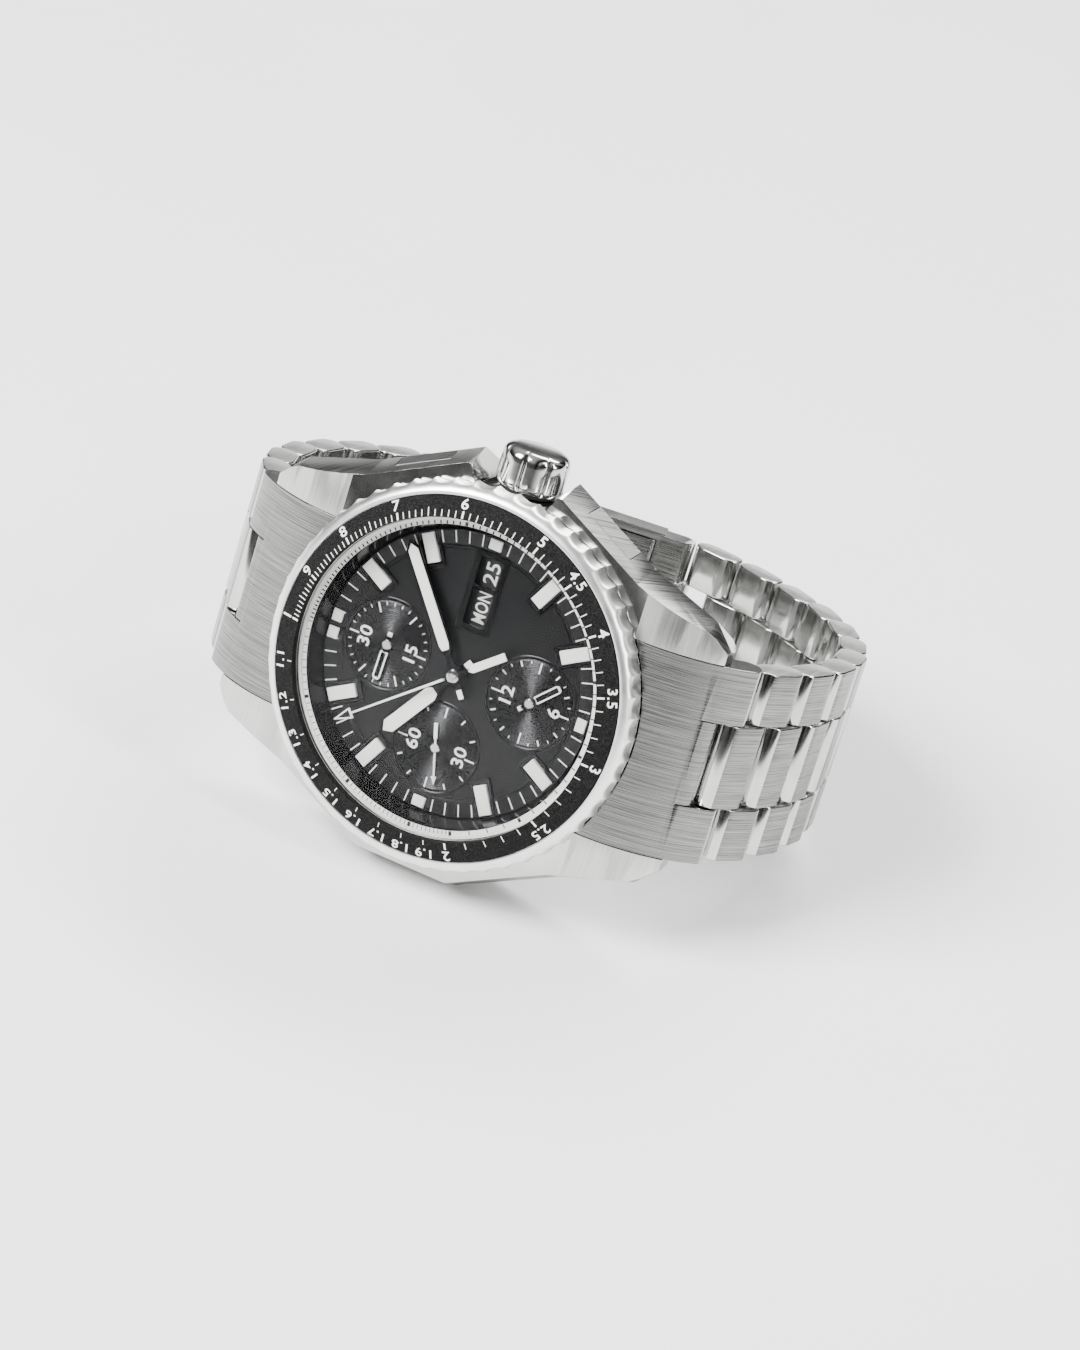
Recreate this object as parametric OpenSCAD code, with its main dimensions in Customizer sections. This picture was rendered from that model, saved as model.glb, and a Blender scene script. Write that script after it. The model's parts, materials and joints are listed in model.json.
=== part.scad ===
// Chronograph wristwatch on a three-row steel bracelet, lying on its nine o'clock flank.
// Every sub-part is drawn in the watch's own axes (x to 3 o'clock, y to 12 o'clock, z out of the
// dial, z = 0 on the caseback's flat face), and placed() then turns the watch into its resting pose.

/* [Case] */
// Half width of the case top at the crown guards
case_half_w = 21.9; // [21:0.1:24]
// Height of the case's flat shoulder above the caseback face
case_top_z = 10.2; // [9.8:0.1:11]
// Height of the case's underside above the caseback face
case_bottom_z = 1.0; // [0.8:0.1:1.4]
// Half length of the case over the lug tips
lug_tip_y = 26.6; // [25.6:0.1:28]
// Gap between the lugs, which is the bracelet's width at the case
lug_gap = 22; // [20:0.5:22]
// Width of one lug where its nose starts
lug_w = 2.8; // [2.4:0.1:3.4]
// Length of the pointed nose at each lug's tip
lug_nose_l = 2.4; // [1.6:0.1:3]
// Outward draft of the brushed flanks
flank_draft = 1.2; // [0.4:0.1:1.6]
// Radius of the bore that holds the movement
movement_bore_r = 16.5; // [15.5:0.1:16.6]
// Radius of the shoulder that falls to the lugs
shoulder_r = 15.5; // [14:0.1:17]
// Where the shoulder starts to fall, from the dial's centre
shoulder_y = 17.4; // [16.5:0.1:18]

/* [Bezel and crystal] */
// Outer radius of the rotating bezel
bezel_r = 21; // [20.6:0.1:22]
// Number of scallops round the bezel
scallop_count = 56; // [48:1:60]
// Depth of one scallop
scallop_depth = 0.5; // [0.3:0.05:0.6]
// Outer radius of the bezel's scale insert
insert_outer_r = 19.45; // [18.9:0.05:19.6]
// Inner radius of the bezel's scale insert
insert_inner_r = 17.2; // [17.15:0.05:17.4]
// Radius of the crystal
crystal_r = 16.8; // [15.8:0.05:16.85]
// Thickness of the crystal
crystal_h = 1.6; // [1:0.1:2]
// Width of the crystal's gasket
gasket_w = 0.25; // [0.15:0.05:0.3]

/* [Dial] */
// Height of the dial's face above the caseback face
dial_z = 9.6; // [9.4:0.1:9.8]
// Distance of each small dial from the centre
subdial_offset = 8.5; // [8.3:0.1:8.8]
// Radius of each small dial
subdial_r = 4.8; // [4.2:0.1:5]
// Inner radius of the white scale ring
ring_inner_r = 15.4; // [15:0.1:15.6]
// Length of the minute hand from its centre
minute_hand_l = 15.0; // [12:0.1:15.1]
// Length of the hour hand from its centre
hour_hand_l = 10.9; // [8:0.1:12]
// Length of the chronograph seconds hand from its centre
chrono_hand_l = 14.9; // [12:0.1:15.1]

/* [Crown and pushers] */
// Radius of the crown
crown_r = 3.65; // [3:0.05:3.8]
// Length of the crown
crown_l = 4.4; // [3.6:0.1:5]
// Height of the crown's axis above the caseback face
crown_z = 5.6; // [5.4:0.1:5.8]
// Travel of the crown from winding to setting
crown_pull = 1.0; // [0.6:0.1:1.4]
// Radius of the winding stem
stem_r = 0.9; // [0.6:0.05:1.1]
// Travel of a pusher
pusher_travel = 0.7; // [0.4:0.1:0.8]
// Width of a pusher along the flank
pusher_w = 6.4; // [4:0.1:6.6]

/* [Bracelet] */
// Pitch of the links
link_pitch = 6.1; // [5.9:0.05:6.4]
// Thickness of a link
link_t = 3.2; // [2.8:0.1:3.2]
// Gap between one link and the next
link_gap = 0.15; // [0.12:0.01:0.2]
// Number of links on the 6 o'clock side
links_6 = 10; // [8:1:10]
// Number of links on the 12 o'clock side
links_12 = 7; // [5:1:7]
// Slope of the end link where the first link joins it, in degrees
end_slope = 50; // [46:1:54]
// Turn of the bracelet at each link of the closed loop, in degrees
link_turn = 11.8; // [11:0.1:12.6]
// Width of the bracelet at the clasp
clasp_w = 18; // [16:0.5:18.5]
// Share of the width that the centre row takes
centre_share = 0.44; // [0.36:0.01:0.5]
// Radius of a link pin
pin_r = 0.55; // [0.4:0.05:0.7]

/* [Fits] */
// Radial clearance of a turning shaft
run_gap = 0.05; // [0.02:0.01:0.1]
// Clearance round a sliding pusher
slide_gap = 0.06; // [0.03:0.01:0.1]
// Clearance between neighbouring pieces that do not touch
air = 0.15; // [0.12:0.01:0.2]

/* [Hidden] */
$fn = 64;
steel = [0.78, 0.79, 0.8];
black = [0.06, 0.06, 0.07];
white = [0.93, 0.93, 0.9];
brass = [0.72, 0.58, 0.3];
ruby = [0.6, 0.1, 0.2];

// Case stack, from the caseback up
neck_outer_r = 18.2;
neck_inner_r = crystal_r + gasket_w;
neck_top_z = 12.7;
bezel_z = case_top_z + air;
bezel_ledge_z = neck_top_z + air;
ledge_t = 0.12;
insert_seat_r = insert_outer_r + 0.05;
bezel_top_z = 13.3;
insert_drop = 0.8;
ring_top_z = 12.4;
crystal_z = ring_top_z + 0.05;
dial_r = movement_bore_r + 0.2;
dial_t = 0.4;
back_r = 17.6;
back_boss_r = 16.9;
back_t = 1.0;
back_boss_h = 1.0;
seat_h = 0.8;
gasket_t = 0.5;

// Case flanks
guard_y = 5.5;
waist_x = 16.5;
waist_y = 16;
lug_inner_x = lug_gap / 2;
lug_tip_x = lug_inner_x + lug_w;
lug_nose_y = lug_tip_y - lug_nose_l;
lug_point_x = lug_inner_x + 0.9;
lug_root_x = waist_x + (waist_x - lug_tip_x) * (waist_y - guard_y) / (lug_nose_y - waist_y);
draft_z = case_top_z - 4.1;
base_draft = -1.4;
slab = 0.02;
flank_angle = atan2(case_half_w - waist_x, waist_y - guard_y);
flank_mid = [(case_half_w + waist_x) / 2, (guard_y + waist_y) / 2];
end_clear_r = bezel_r - 0.4;

// Crown
crown_seat_x = case_half_w - 1.9;
crown_base_x = crown_seat_x + 0.5;
tube_outer_r = 1.6;
tube_r = stem_r + run_gap;
stem_inner_x = 12;
flute_count = 8;
collar_r = 1.7;
collar_x = 13.2;
collar_l = 0.8;
stem_step_x = collar_x + collar_l + run_gap;
stem_neck_r = 0.5;

// Pushers
pusher_depth = 3.0;
pusher_h = 5.6;
pusher_pin_r = 0.6;
pusher_pin_end = 1.9;

// Dial
window_x = 5.4;
window_l = 7.6;
window_w = 2.7;
track_inner_r = subdial_offset + subdial_r + 0.3;
subdial_sink = 0.12;
marker_w = 1.5;
marker_h = 0.5;
marker_outer_r = ring_inner_r - 0.15;
long_marker_l = 3.3;
short_marker_l = 1.2;

// Movement
holder_z = 3.6;
plate_r = 15.7;
plate_z = 6.6;
plate_t = 1.5;
bridge_t = 0.7;
rotor_z = 2.2;
rotor_r = 15.2;
disc_z = 8.35;
disc_t = 0.25;
arbor_r = 0.25;
wheel_t = 0.25;
gear_module = 0.15;
centre_teeth = 64;
pinion_teeth = 8;
third_teeth = 60;
fourth_teeth = 60;
escape_pinion_teeth = 6;
barrel_teeth = 72;
centre_pinion_teeth = 10;
centre_wheel_z = 5.9;
third_wheel_z = 5.2;
barrel_z = 4.95;
escape_z = 4.85;
bridge_z = 3.6;
fourth_wheel_z = 4.5;
function heading(a, b) = atan2(b[1] - a[1], b[0] - a[0]);
fourth_pos = [-subdial_offset, 0];
third_reach = gear_module * (centre_teeth + pinion_teeth) / 2;
fourth_reach = gear_module * (third_teeth + pinion_teeth) / 2;
third_x = -(third_reach * third_reach - fourth_reach * fourth_reach + subdial_offset * subdial_offset)
    / (2 * subdial_offset);
third_pos = [third_x, -sqrt(third_reach * third_reach - third_x * third_x)];
escape_reach = gear_module * (fourth_teeth + escape_pinion_teeth) / 2;
escape_dir = 215;
escape_pos = fourth_pos + escape_reach * [cos(escape_dir), sin(escape_dir)];
balance_pos = [-6.8, -9.0];
fork_dir = heading(escape_pos, balance_pos);
fork_pos = escape_pos + 2.9 * [cos(fork_dir), sin(fork_dir)];
barrel_reach = gear_module * (barrel_teeth + centre_pinion_teeth) / 2;
barrel_dir = 48;
barrel_pos = barrel_reach * [cos(barrel_dir), sin(barrel_dir)];
counter_12_pos = [0, subdial_offset];
counter_6_pos = [0, -subdial_offset];

// Hands, clockwise from 12 o'clock
hour_angle = 304.4;
minute_angle = 53;
chrono_angle = 319.6;
seconds_angle = 255.5;
counter_30_angle = 272;
counter_12h_angle = 134.5;
hour_z = 10.1;
minute_z = 10.6;
chrono_z = 11.05;
sub_hand_z = 9.78;
hand_t = 0.22;
hub_top_z = 11.5;
chrono_foot_z = bridge_z + bridge_t + 0.1;
hour_pipe_r = 0.85;
minute_pipe_r = 0.55;

// Bracelet, drawn in the loop's plane: u towards 6 o'clock, z as the watch's z
band_r = shoulder_r - link_t / 2;
arc_z = case_top_z - shoulder_r;
cap_r = link_t / 2;
link_len = link_pitch - link_gap;
pivot_back = link_pitch / 4;
cap_u = shoulder_y + band_r * sin(end_slope);
cap_z = arc_z + band_r * cos(end_slope);
first_u = cap_u + (link_gap) * cos(end_slope);
first_z = cap_z - (link_gap) * sin(end_slope);
function link_angle(i) = end_slope + link_turn * i;
function pivot_u(i) = i <= 1 ? first_u : pivot_u(i - 1) + link_pitch * cos(link_angle(i - 1));
function pivot_z(i) = i <= 1 ? first_z : pivot_z(i - 1) - link_pitch * sin(link_angle(i - 1));
function half_w(i) = (lug_gap - 0.2 - (lug_gap - clasp_w) * min(i, 8) / 8) / 2;
row_gap = 0.12;
pin_wall = 0.8;
spring_bar_slope = 27;
spring_bar_r = 0.75;
bar_u = shoulder_y + band_r * sin(spring_bar_slope);
bar_z = arc_z + band_r * cos(spring_bar_slope);

// Where the end link's centre stops for the first link, and where its one-piece root stops
centre_slope = end_slope - 2 * asin((2 * cap_r - link_gap) / 2 / band_r);
root_slope = centre_slope - 3;

// Clasp, from the last pivot of the 12 side to the last pivot of the 6 side
clasp_start = [-pivot_u(links_12 + 1), pivot_z(links_12 + 1)];
clasp_end = [pivot_u(links_6 + 1), pivot_z(links_6 + 1)];
clasp_run = clasp_end - clasp_start;
clasp_l = norm(clasp_run);
clasp_slope = atan2(-clasp_run[1], clasp_run[0]);
clasp_hw = clasp_w / 2;
cover_wall = 0.9;
cover_lid_t = 0.9;
cover_top = 1.8;
cover_skirt = -1.4;
cover_s = 1.9;
cover_end_s = clasp_l - 5.2;
tongue_s = clasp_l - cap_r - pin_r - 2 * air;
leaf_t = 0.8;
leaf_s = 1.9;
leaf_hw = clasp_hw - cover_wall - air;
mid_leaf_t = -0.55;
tab_hw = 3.4;
hinge_r = 0.3;
knuckle_r = 0.6;
hinge_12_s = 4.8;
hinge_12_t = 0.1;
hinge_6_s = clasp_l - 6.6;
hinge_6_t = -0.75;

// Resting pose: the watch leans back until its flank and the clasp's edge touch one plane
flank_low = case_half_w + flank_draft - 0.55;
lean = atan2(flank_low - clasp_hw - 0.1, draft_z - min(clasp_start[1], clasp_end[1]) + cover_top);

module placed() rotate([90 - lean, 0, 0]) rotate([0, 0, 90]) children();

module ring(r_out, r_in, h) difference() {
    cylinder(r = r_out, h = h);
    translate([0, 0, -1]) cylinder(r = r_in, h = h + 2);
}

module at(p, z) translate([p[0], p[1], z]) children();

// Turns a gear so that a tooth points along the line of centres, or a gap if it is the pinion
module tooth_towards(a, b) rotate(heading(a, b)) children();
module gap_towards(a, b, teeth) rotate(heading(a, b) + 180 / teeth) children();

// A gear with straight-sided teeth, one of them centred on x
module gear(teeth, h, bore) {
    pitch_r = gear_module * teeth / 2;
    step = 360 / teeth;
    difference() {
        linear_extrude(h) polygon([for (i = [0 : teeth - 1], k = [-0.3, -0.12, 0.12, 0.3])
            let(r = pitch_r + gear_module * (abs(k) < 0.2 ? 0.85 : -1.1), a = (i + k) * step)
            [r * cos(a), r * sin(a)]]);
        if (bore > 0) translate([0, 0, -1]) cylinder(r = bore, h = h + 2);
    }
}

// A wheel with a thin rim and five arms
module spoked(teeth, h) {
    pitch_r = gear_module * teeth / 2;
    rim_r = pitch_r - 3.2 * gear_module;
    difference() {
        gear(teeth, h, 0);
        translate([0, 0, -1]) ring(rim_r, rim_r * 0.32, h + 2);
    }
    for (k = [0 : 4]) rotate(72 * k) translate([0, -0.18, 0]) cube([rim_r + 0.1, 0.36, h]);
}

// ---- Case ----

// One level of the case's plan: the guards' block, grown by g
module guard_block_plan(g) polygon([for (q = [[1, 1], [-1, 1], [-1, -1], [1, -1]], k = [0, 1])
    let(first = q[0] * q[1] > 0, s = first ? k : 1 - k)
    s == 0 ? [q[0] * (case_half_w + g), q[1] * guard_y] : [q[0] * (waist_x + g), q[1] * waist_y]]);

// One level of a lug's plan: it reaches inwards to stay convex and is cut to the gap later
module lug_plan(g) polygon([[0, 0], [lug_root_x + g, guard_y], [lug_tip_x + 0.9 * g, lug_nose_y],
    [lug_point_x + 0.4 * g, lug_tip_y], [0, lug_tip_y]]);

module flank_stack() hull() {
    translate([0, 0, case_top_z - slab]) linear_extrude(slab) children(0);
    translate([0, 0, draft_z]) linear_extrude(slab) children(1);
    translate([0, 0, case_bottom_z]) linear_extrude(slab) children(2);
}

// Side outline of the case: flat top, shoulders that fall along an arc, rounded lug noses
module side_outline() {
    nose_r = 2.2;
    foot_y = 22;
    difference() {
        union() {
            translate([-shoulder_y, case_bottom_z]) square([2 * shoulder_y, case_top_z - case_bottom_z]);
            for (m = [0, 1]) mirror([m, 0]) {
                difference() {
                    translate([shoulder_y, arc_z]) circle(r = shoulder_r, $fn = 128);
                    translate([lug_tip_y - nose_r, case_bottom_z - 30]) square(60);
                    translate([-60, case_bottom_z - 60]) square([120, 60]);
                }
                intersection() {
                    translate([shoulder_y, arc_z]) circle(r = shoulder_r, $fn = 128);
                    union() {
                        translate([lug_tip_y - nose_r, 5.0]) circle(r = nose_r);
                        translate([lug_tip_y - nose_r - 1, 5.0]) square([1 + nose_r, 4]);
                        polygon([[foot_y - 2, case_bottom_z], [foot_y, case_bottom_z],
                            [lug_tip_y - 1.2, 3.2], [lug_tip_y - 1.2, 5], [foot_y - 2, 5]]);
                    }
                }
            }
        }
        for (m = [0, 1]) mirror([m, 0])
            polygon([[foot_y, case_bottom_z - 1], [lug_tip_y + 1, case_bottom_z - 1],
                [lug_tip_y + 1, 4.0], [lug_tip_y - 0.9, 3.4], [foot_y, case_bottom_z]]);
    }
}

module case_envelope() intersection() {
    union() {
        flank_stack() {
            guard_block_plan(0);
            guard_block_plan(flank_draft);
            guard_block_plan(base_draft);
        }
        for (a = [0, 1], b = [0, 1]) mirror([a, 0, 0]) mirror([0, b, 0]) flank_stack() {
            lug_plan(0);
            lug_plan(flank_draft);
            lug_plan(base_draft);
        }
    }
    rotate([90, 0, 90]) translate([0, 0, -40]) linear_extrude(80) side_outline();
}

// Everything outside the case barrel between the lugs
module strap_space(r, g) difference() {
    translate([-lug_inner_x + g, -40, -5]) cube([lug_gap - 2 * g, 80, 25]);
    translate([0, 0, -6]) cylinder(r = r, h = 30);
}

module crown_notch() translate([0, 0, -1]) linear_extrude(20)
    polygon([[crown_seat_x, -crown_r - 0.5], [case_half_w + 3, -guard_y - 0.9],
        [case_half_w + 3, guard_y + 0.9], [crown_seat_x, crown_r + 0.5]]);

// Frame of a pusher: x outwards, square to the flank, y along it
module on_flank(s) translate([flank_mid[0], s * flank_mid[1], crown_z])
    rotate(s * flank_angle) children();

module pusher_pocket() {
    translate([-pusher_depth - pusher_travel, -pusher_w / 2 - slide_gap, -pusher_h / 2 - slide_gap])
        cube([20, pusher_w + 2 * slide_gap, pusher_h + 2 * slide_gap]);
    translate([-9, 0, 0]) rotate([0, 90, 0]) cylinder(r = pusher_pin_r + run_gap, h = 9);
}

module case_middle() color(steel) placed() difference() {
    union() {
        case_envelope();
        translate([0, 0, case_bottom_z]) ring(neck_outer_r, movement_bore_r - 1, neck_top_z - case_bottom_z);
    }
    strap_space(end_clear_r, -0.05);
    translate([0, 0, -1]) cylinder(r = movement_bore_r - 0.5, h = 20);
    translate([0, 0, case_bottom_z - 1]) cylinder(r = back_boss_r + 0.05, h = 1 + back_boss_h + seat_h);
    translate([0, 0, case_bottom_z + back_boss_h + seat_h - 0.01])
        cylinder(r = movement_bore_r, h = dial_z - dial_t - case_bottom_z - back_boss_h - seat_h + 0.01);
    translate([0, 0, dial_z - dial_t]) cylinder(r = crystal_r + 0.02, h = 10);
    translate([0, 0, ring_top_z]) cylinder(r = neck_inner_r, h = 10);
    crown_notch();
    translate([14, 0, crown_z]) rotate([0, 90, 0]) cylinder(r = tube_outer_r, h = 12);
    for (s = [-1, 1]) on_flank(s) pusher_pocket();
    for (s = [-1, 1]) translate([-lug_inner_x - 1, s * bar_u, bar_z]) rotate([0, 90, 0])
        cylinder(r = 0.45, h = lug_gap + 2);
}

module caseback() color(steel) placed() difference() {
    union() {
        rotate_extrude($fn = 128) polygon([[0, 0], [15.4, 0], [16.4, 0.25], [back_r, 0.6], [back_r, back_t],
            [0, back_t]]);
        translate([0, 0, back_t - 0.01]) ring(back_boss_r, back_boss_r - 1.2, back_boss_h + 0.01);
    }
    for (k = [0 : 5]) rotate(60 * k + 30) translate([16.8, 0, -0.1]) cylinder(r = 0.6, h = 0.8);
}

module caseback_gasket() color(black) placed()
    translate([0, 0, back_t + back_boss_h]) ring(back_boss_r, back_boss_r - 0.8, gasket_t);

// ---- Crystal, bezel and scale ring ----

module crystal() color([0.8, 0.9, 1, 0.25]) placed() translate([0, 0, crystal_z])
    rotate_extrude($fn = 128) polygon([[0, 0], [crystal_r, 0], [crystal_r, crystal_h - 0.3],
        [crystal_r - 0.3, crystal_h], [0, crystal_h]]);

module crystal_gasket() color(white) placed()
    translate([0, 0, crystal_z]) ring(neck_inner_r, crystal_r, neck_top_z - crystal_z);

module scallops() {
    bite_r = 1.5;
    for (k = [0 : scallop_count - 1]) rotate(360 / scallop_count * k)
        translate([bezel_r - scallop_depth + bite_r, 0, bezel_z - 1]) cylinder(r = bite_r, h = 6, $fn = 24);
}

module bezel() color(steel) placed() difference() {
    rotate_extrude($fn = 128) polygon([
        [neck_outer_r + run_gap, bezel_z], [bezel_r - 0.35, bezel_z], [bezel_r, bezel_z + 0.35],
        [bezel_r, bezel_top_z - 0.5], [bezel_r - 0.5, bezel_top_z - 0.05],
        [insert_seat_r + 0.15, bezel_top_z],
        [insert_seat_r, bezel_top_z - 0.1], [insert_seat_r, bezel_ledge_z + ledge_t],
        [insert_inner_r, bezel_ledge_z + ledge_t], [insert_inner_r, bezel_ledge_z],
        [neck_outer_r + run_gap, bezel_ledge_z]]);
    scallops();
}
module bezel_insert() color(black) placed() rotate_extrude($fn = 128) polygon([
    [insert_inner_r, bezel_ledge_z + ledge_t], [insert_outer_r, bezel_ledge_z + ledge_t],
    [insert_outer_r, bezel_top_z - 0.1], [insert_inner_r, bezel_top_z - 0.1 + insert_drop]]);

module scale_ring() color(white) placed() rotate_extrude($fn = 128) polygon([
    [ring_inner_r, dial_z], [crystal_r, dial_z], [crystal_r, ring_top_z], [ring_inner_r + 0.1, ring_top_z],
    [ring_inner_r, ring_top_z - 0.1]]);

// ---- Dial ----

module dial() color(black) placed() difference() {
    union() {
        translate([0, 0, dial_z - dial_t]) cylinder(r = dial_r, h = dial_t, $fn = 128);
        translate([0, 0, dial_z - 0.01]) rotate_extrude($fn = 128)
            polygon([[track_inner_r, 0], [ring_inner_r - 0.05, 0], [ring_inner_r - 0.05, 0.35],
                [track_inner_r + 0.2, 0.2]]);
    }
    translate([0, 0, 0]) cylinder(r = hour_pipe_r + 0.1, h = 20);
    for (p = [fourth_pos, counter_12_pos, counter_6_pos]) {
        at(p, dial_z - subdial_sink) cylinder(r = subdial_r, h = 1);
        at(p, 0) cylinder(r = arbor_r + 0.1, h = 20);
    }
    translate([window_x, -window_w / 2, dial_z - dial_t - 1]) cube([window_l, window_w, 5]);
}

module hour_markers() color(white) placed() for (h = [0 : 11])
    let(l = h % 3 == 0 ? short_marker_l : long_marker_l, r0 = marker_outer_r - l)
    if (h == 0) for (s = [-1, 1]) translate([s * 0.95 - 0.65, marker_outer_r - short_marker_l, dial_z])
        cube([1.3, short_marker_l, marker_h]);
    else rotate(-30 * h) translate([-marker_w / 2, r0, dial_z]) cube([marker_w, l, marker_h]);

// ---- Hands ----

module hand_bar(l, w, tail) linear_extrude(hand_t)
    polygon([[-w / 2, -tail], [w / 2, -tail], [w / 2, l - w], [0, l], [-w / 2, l - w]]);

module on_hand(angle, z) translate([0, 0, z]) rotate(-angle) children();

module pipe(r, bore, z0, z1) difference() {
    translate([0, 0, z0]) cylinder(r = r, h = z1 - z0);
    translate([0, 0, z0 - 1]) cylinder(r = bore, h = z1 - z0 + 2);
}

module hour_hand() color(white) placed() {
    difference() {
        on_hand(hour_angle, hour_z) union() {
            hand_bar(hour_hand_l, 1.9, 2.0);
            cylinder(r = 1.3, h = hand_t);
        }
        cylinder(r = hour_pipe_r - 0.05, h = 20);
    }
    pipe(hour_pipe_r, minute_pipe_r + run_gap, disc_z + 0.02, hour_z + hand_t);
    difference() {
        translate([0, 0, disc_z + 0.02]) gear(40, disc_t, 0);
        cylinder(r = hour_pipe_r - 0.05, h = 20);
    }
}

module minute_hand() color(white) placed() {
    difference() {
        on_hand(minute_angle, minute_z) union() {
            hand_bar(minute_hand_l, 1.6, 2.5);
            cylinder(r = 1.1, h = hand_t);
        }
        cylinder(r = minute_pipe_r - 0.05, h = 20);
    }
    pipe(minute_pipe_r, arbor_r + run_gap, centre_wheel_z + 0.6, minute_z + hand_t);
}

module chrono_hand() color(white) placed() {
    on_hand(chrono_angle, chrono_z) union() {
        linear_extrude(hand_t) polygon([[-0.45, -6.5], [0.45, -6.5], [0.45, -1.4], [0.12, 0],
            [0.12, chrono_hand_l], [-0.12, chrono_hand_l], [-0.12, 0], [-0.45, -1.4]]);
        cylinder(r = 0.9, h = hand_t);
    }
    translate([0, 0, chrono_foot_z]) cylinder(r = arbor_r, h = hub_top_z - chrono_foot_z);
}

module sub_hand(p, angle, l, w, tail, foot_z) color(white) placed() {
    at(p, 0) on_hand(angle, sub_hand_z) union() {
        hand_bar(l, w, tail);
        cylinder(r = 0.55, h = hand_t);
    }
    at(p, foot_z) cylinder(r = arbor_r, h = sub_hand_z + hand_t - foot_z);
}

module seconds_hand() sub_hand(fourth_pos, seconds_angle, 4.1, 0.4, 1.4, plate_z + plate_t - 0.4);
module minute_counter_hand() sub_hand(counter_12_pos, counter_30_angle, 4.1, 0.8, 1.4, plate_z + 0.4);
module hour_counter_hand() sub_hand(counter_6_pos, counter_12h_angle, 4.1, 0.8, 1.4, plate_z + 0.4);

// ---- Movement ----

module movement_ring() color(steel) placed() difference() {
    translate([0, 0, holder_z]) ring(movement_bore_r, plate_r + 0.02, dial_z - dial_t - holder_z);
    translate([14, 0, crown_z]) rotate([0, 90, 0]) cylinder(r = tube_outer_r, h = 12);
    for (s = [-1, 1]) on_flank(s) pusher_pocket();
}

module shaft_hole(p, r) at(p, -1) cylinder(r = r, h = 30);

module collar_space() translate([stem_inner_x - 0.5, 0, crown_z]) rotate([0, 90, 0])
    cylinder(r = collar_r + 0.2, h = 12);

module mainplate() color(steel) placed() difference() {
    union() {
        translate([0, 0, plate_z]) cylinder(r = plate_r, h = plate_t);
        translate([0, 0, 4.0]) ring(plate_r, plate_r - 0.8, plate_z - 4.0 + 0.01);
        for (a = [75, 160, 290]) rotate(a) translate([13.7, 0, bridge_z + bridge_t])
            cylinder(r = 1.0, h = plate_z - bridge_z - bridge_t);
    }
    shaft_hole([0, 0], minute_pipe_r + 0.1);
    for (p = [fourth_pos, third_pos, counter_12_pos, counter_6_pos, escape_pos, balance_pos, fork_pos,
        barrel_pos]) shaft_hole(p, arbor_r + run_gap);
    collar_space();
}

module train_bridge() color(steel) placed() difference() {
    union() {
        translate([0, 0, bridge_z]) cylinder(r = plate_r - 1.0, h = bridge_t);
        translate([0, 0, rotor_z + 0.3]) cylinder(r = 1.2, h = bridge_z - rotor_z - 0.29);
    }
    for (p = [fourth_pos, third_pos, escape_pos, balance_pos, fork_pos, barrel_pos])
        shaft_hole(p, arbor_r + run_gap);
    collar_space();
}

module arbor(p, z0, z1) at(p, z0) cylinder(r = arbor_r, h = z1 - z0);

module barrel() color(brass) placed() {
    at(barrel_pos, barrel_z) tooth_towards(barrel_pos, [0, 0]) gear(barrel_teeth, wheel_t, 0);
    at(barrel_pos, barrel_z) cylinder(r = 4.9, h = 0.7);
    arbor(barrel_pos, bridge_z, plate_z + 0.9);
}

module centre_wheel() color(brass) placed() difference() {
    union() {
        translate([0, 0, centre_wheel_z]) tooth_towards([0, 0], third_pos) spoked(centre_teeth, wheel_t);
        translate([0, 0, barrel_z - 0.1]) gap_towards([0, 0], barrel_pos, centre_pinion_teeth)
            gear(centre_pinion_teeth, centre_wheel_z - barrel_z + 0.2, 0);
    }
    shaft_hole([0, 0], arbor_r + run_gap);
}

module third_wheel() color(brass) placed() {
    at(third_pos, third_wheel_z) tooth_towards(third_pos, fourth_pos) spoked(third_teeth, wheel_t);
    at(third_pos, third_wheel_z + wheel_t - 0.01) gap_towards(third_pos, [0, 0], pinion_teeth)
        gear(pinion_teeth, centre_wheel_z - third_wheel_z + 0.05, 0);
    arbor(third_pos, bridge_z, plate_z + 0.9);
}

module fourth_wheel() color(brass) placed() {
    at(fourth_pos, fourth_wheel_z) tooth_towards(fourth_pos, escape_pos) spoked(fourth_teeth, wheel_t);
    at(fourth_pos, third_wheel_z - 0.1) gap_towards(fourth_pos, third_pos, pinion_teeth)
        gear(pinion_teeth, 0.9, 0);
    arbor(fourth_pos, bridge_z, plate_z + plate_t - 0.4);
}

module escape_wheel() color(steel) placed() {
    at(escape_pos, escape_z) linear_extrude(wheel_t) polygon([for (i = [0 : 19], k = [0, 1])
        let(r = k == 0 ? 1.7 : 1.25, a = 18 * i + 9 * k) [r * cos(a), r * sin(a)]]);
    at(escape_pos, bridge_z + bridge_t + 0.02) gap_towards(escape_pos, fourth_pos, escape_pinion_teeth)
        gear(escape_pinion_teeth, 0.6, 0);
    arbor(escape_pos, bridge_z, plate_z + 0.9);
}

module pallet_fork() color(ruby) placed() {
    at(fork_pos, escape_z) rotate(fork_dir) {
        translate([-0.6, -0.2, 0]) cube([5, 0.4, wheel_t]);
        translate([-0.6, -1.1, 0]) cube([0.4, 2.2, wheel_t]);
    }
    arbor(fork_pos, bridge_z, plate_z + 0.9);
}

module balance() color(brass) placed() {
    at(balance_pos, 5.6) {
        ring(3.3, 2.8, 0.4);
        translate([-3, -0.2, 0.1]) cube([6, 0.4, 0.2]);
    }
    arbor(balance_pos, bridge_z, plate_z + 0.9);
}

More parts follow.
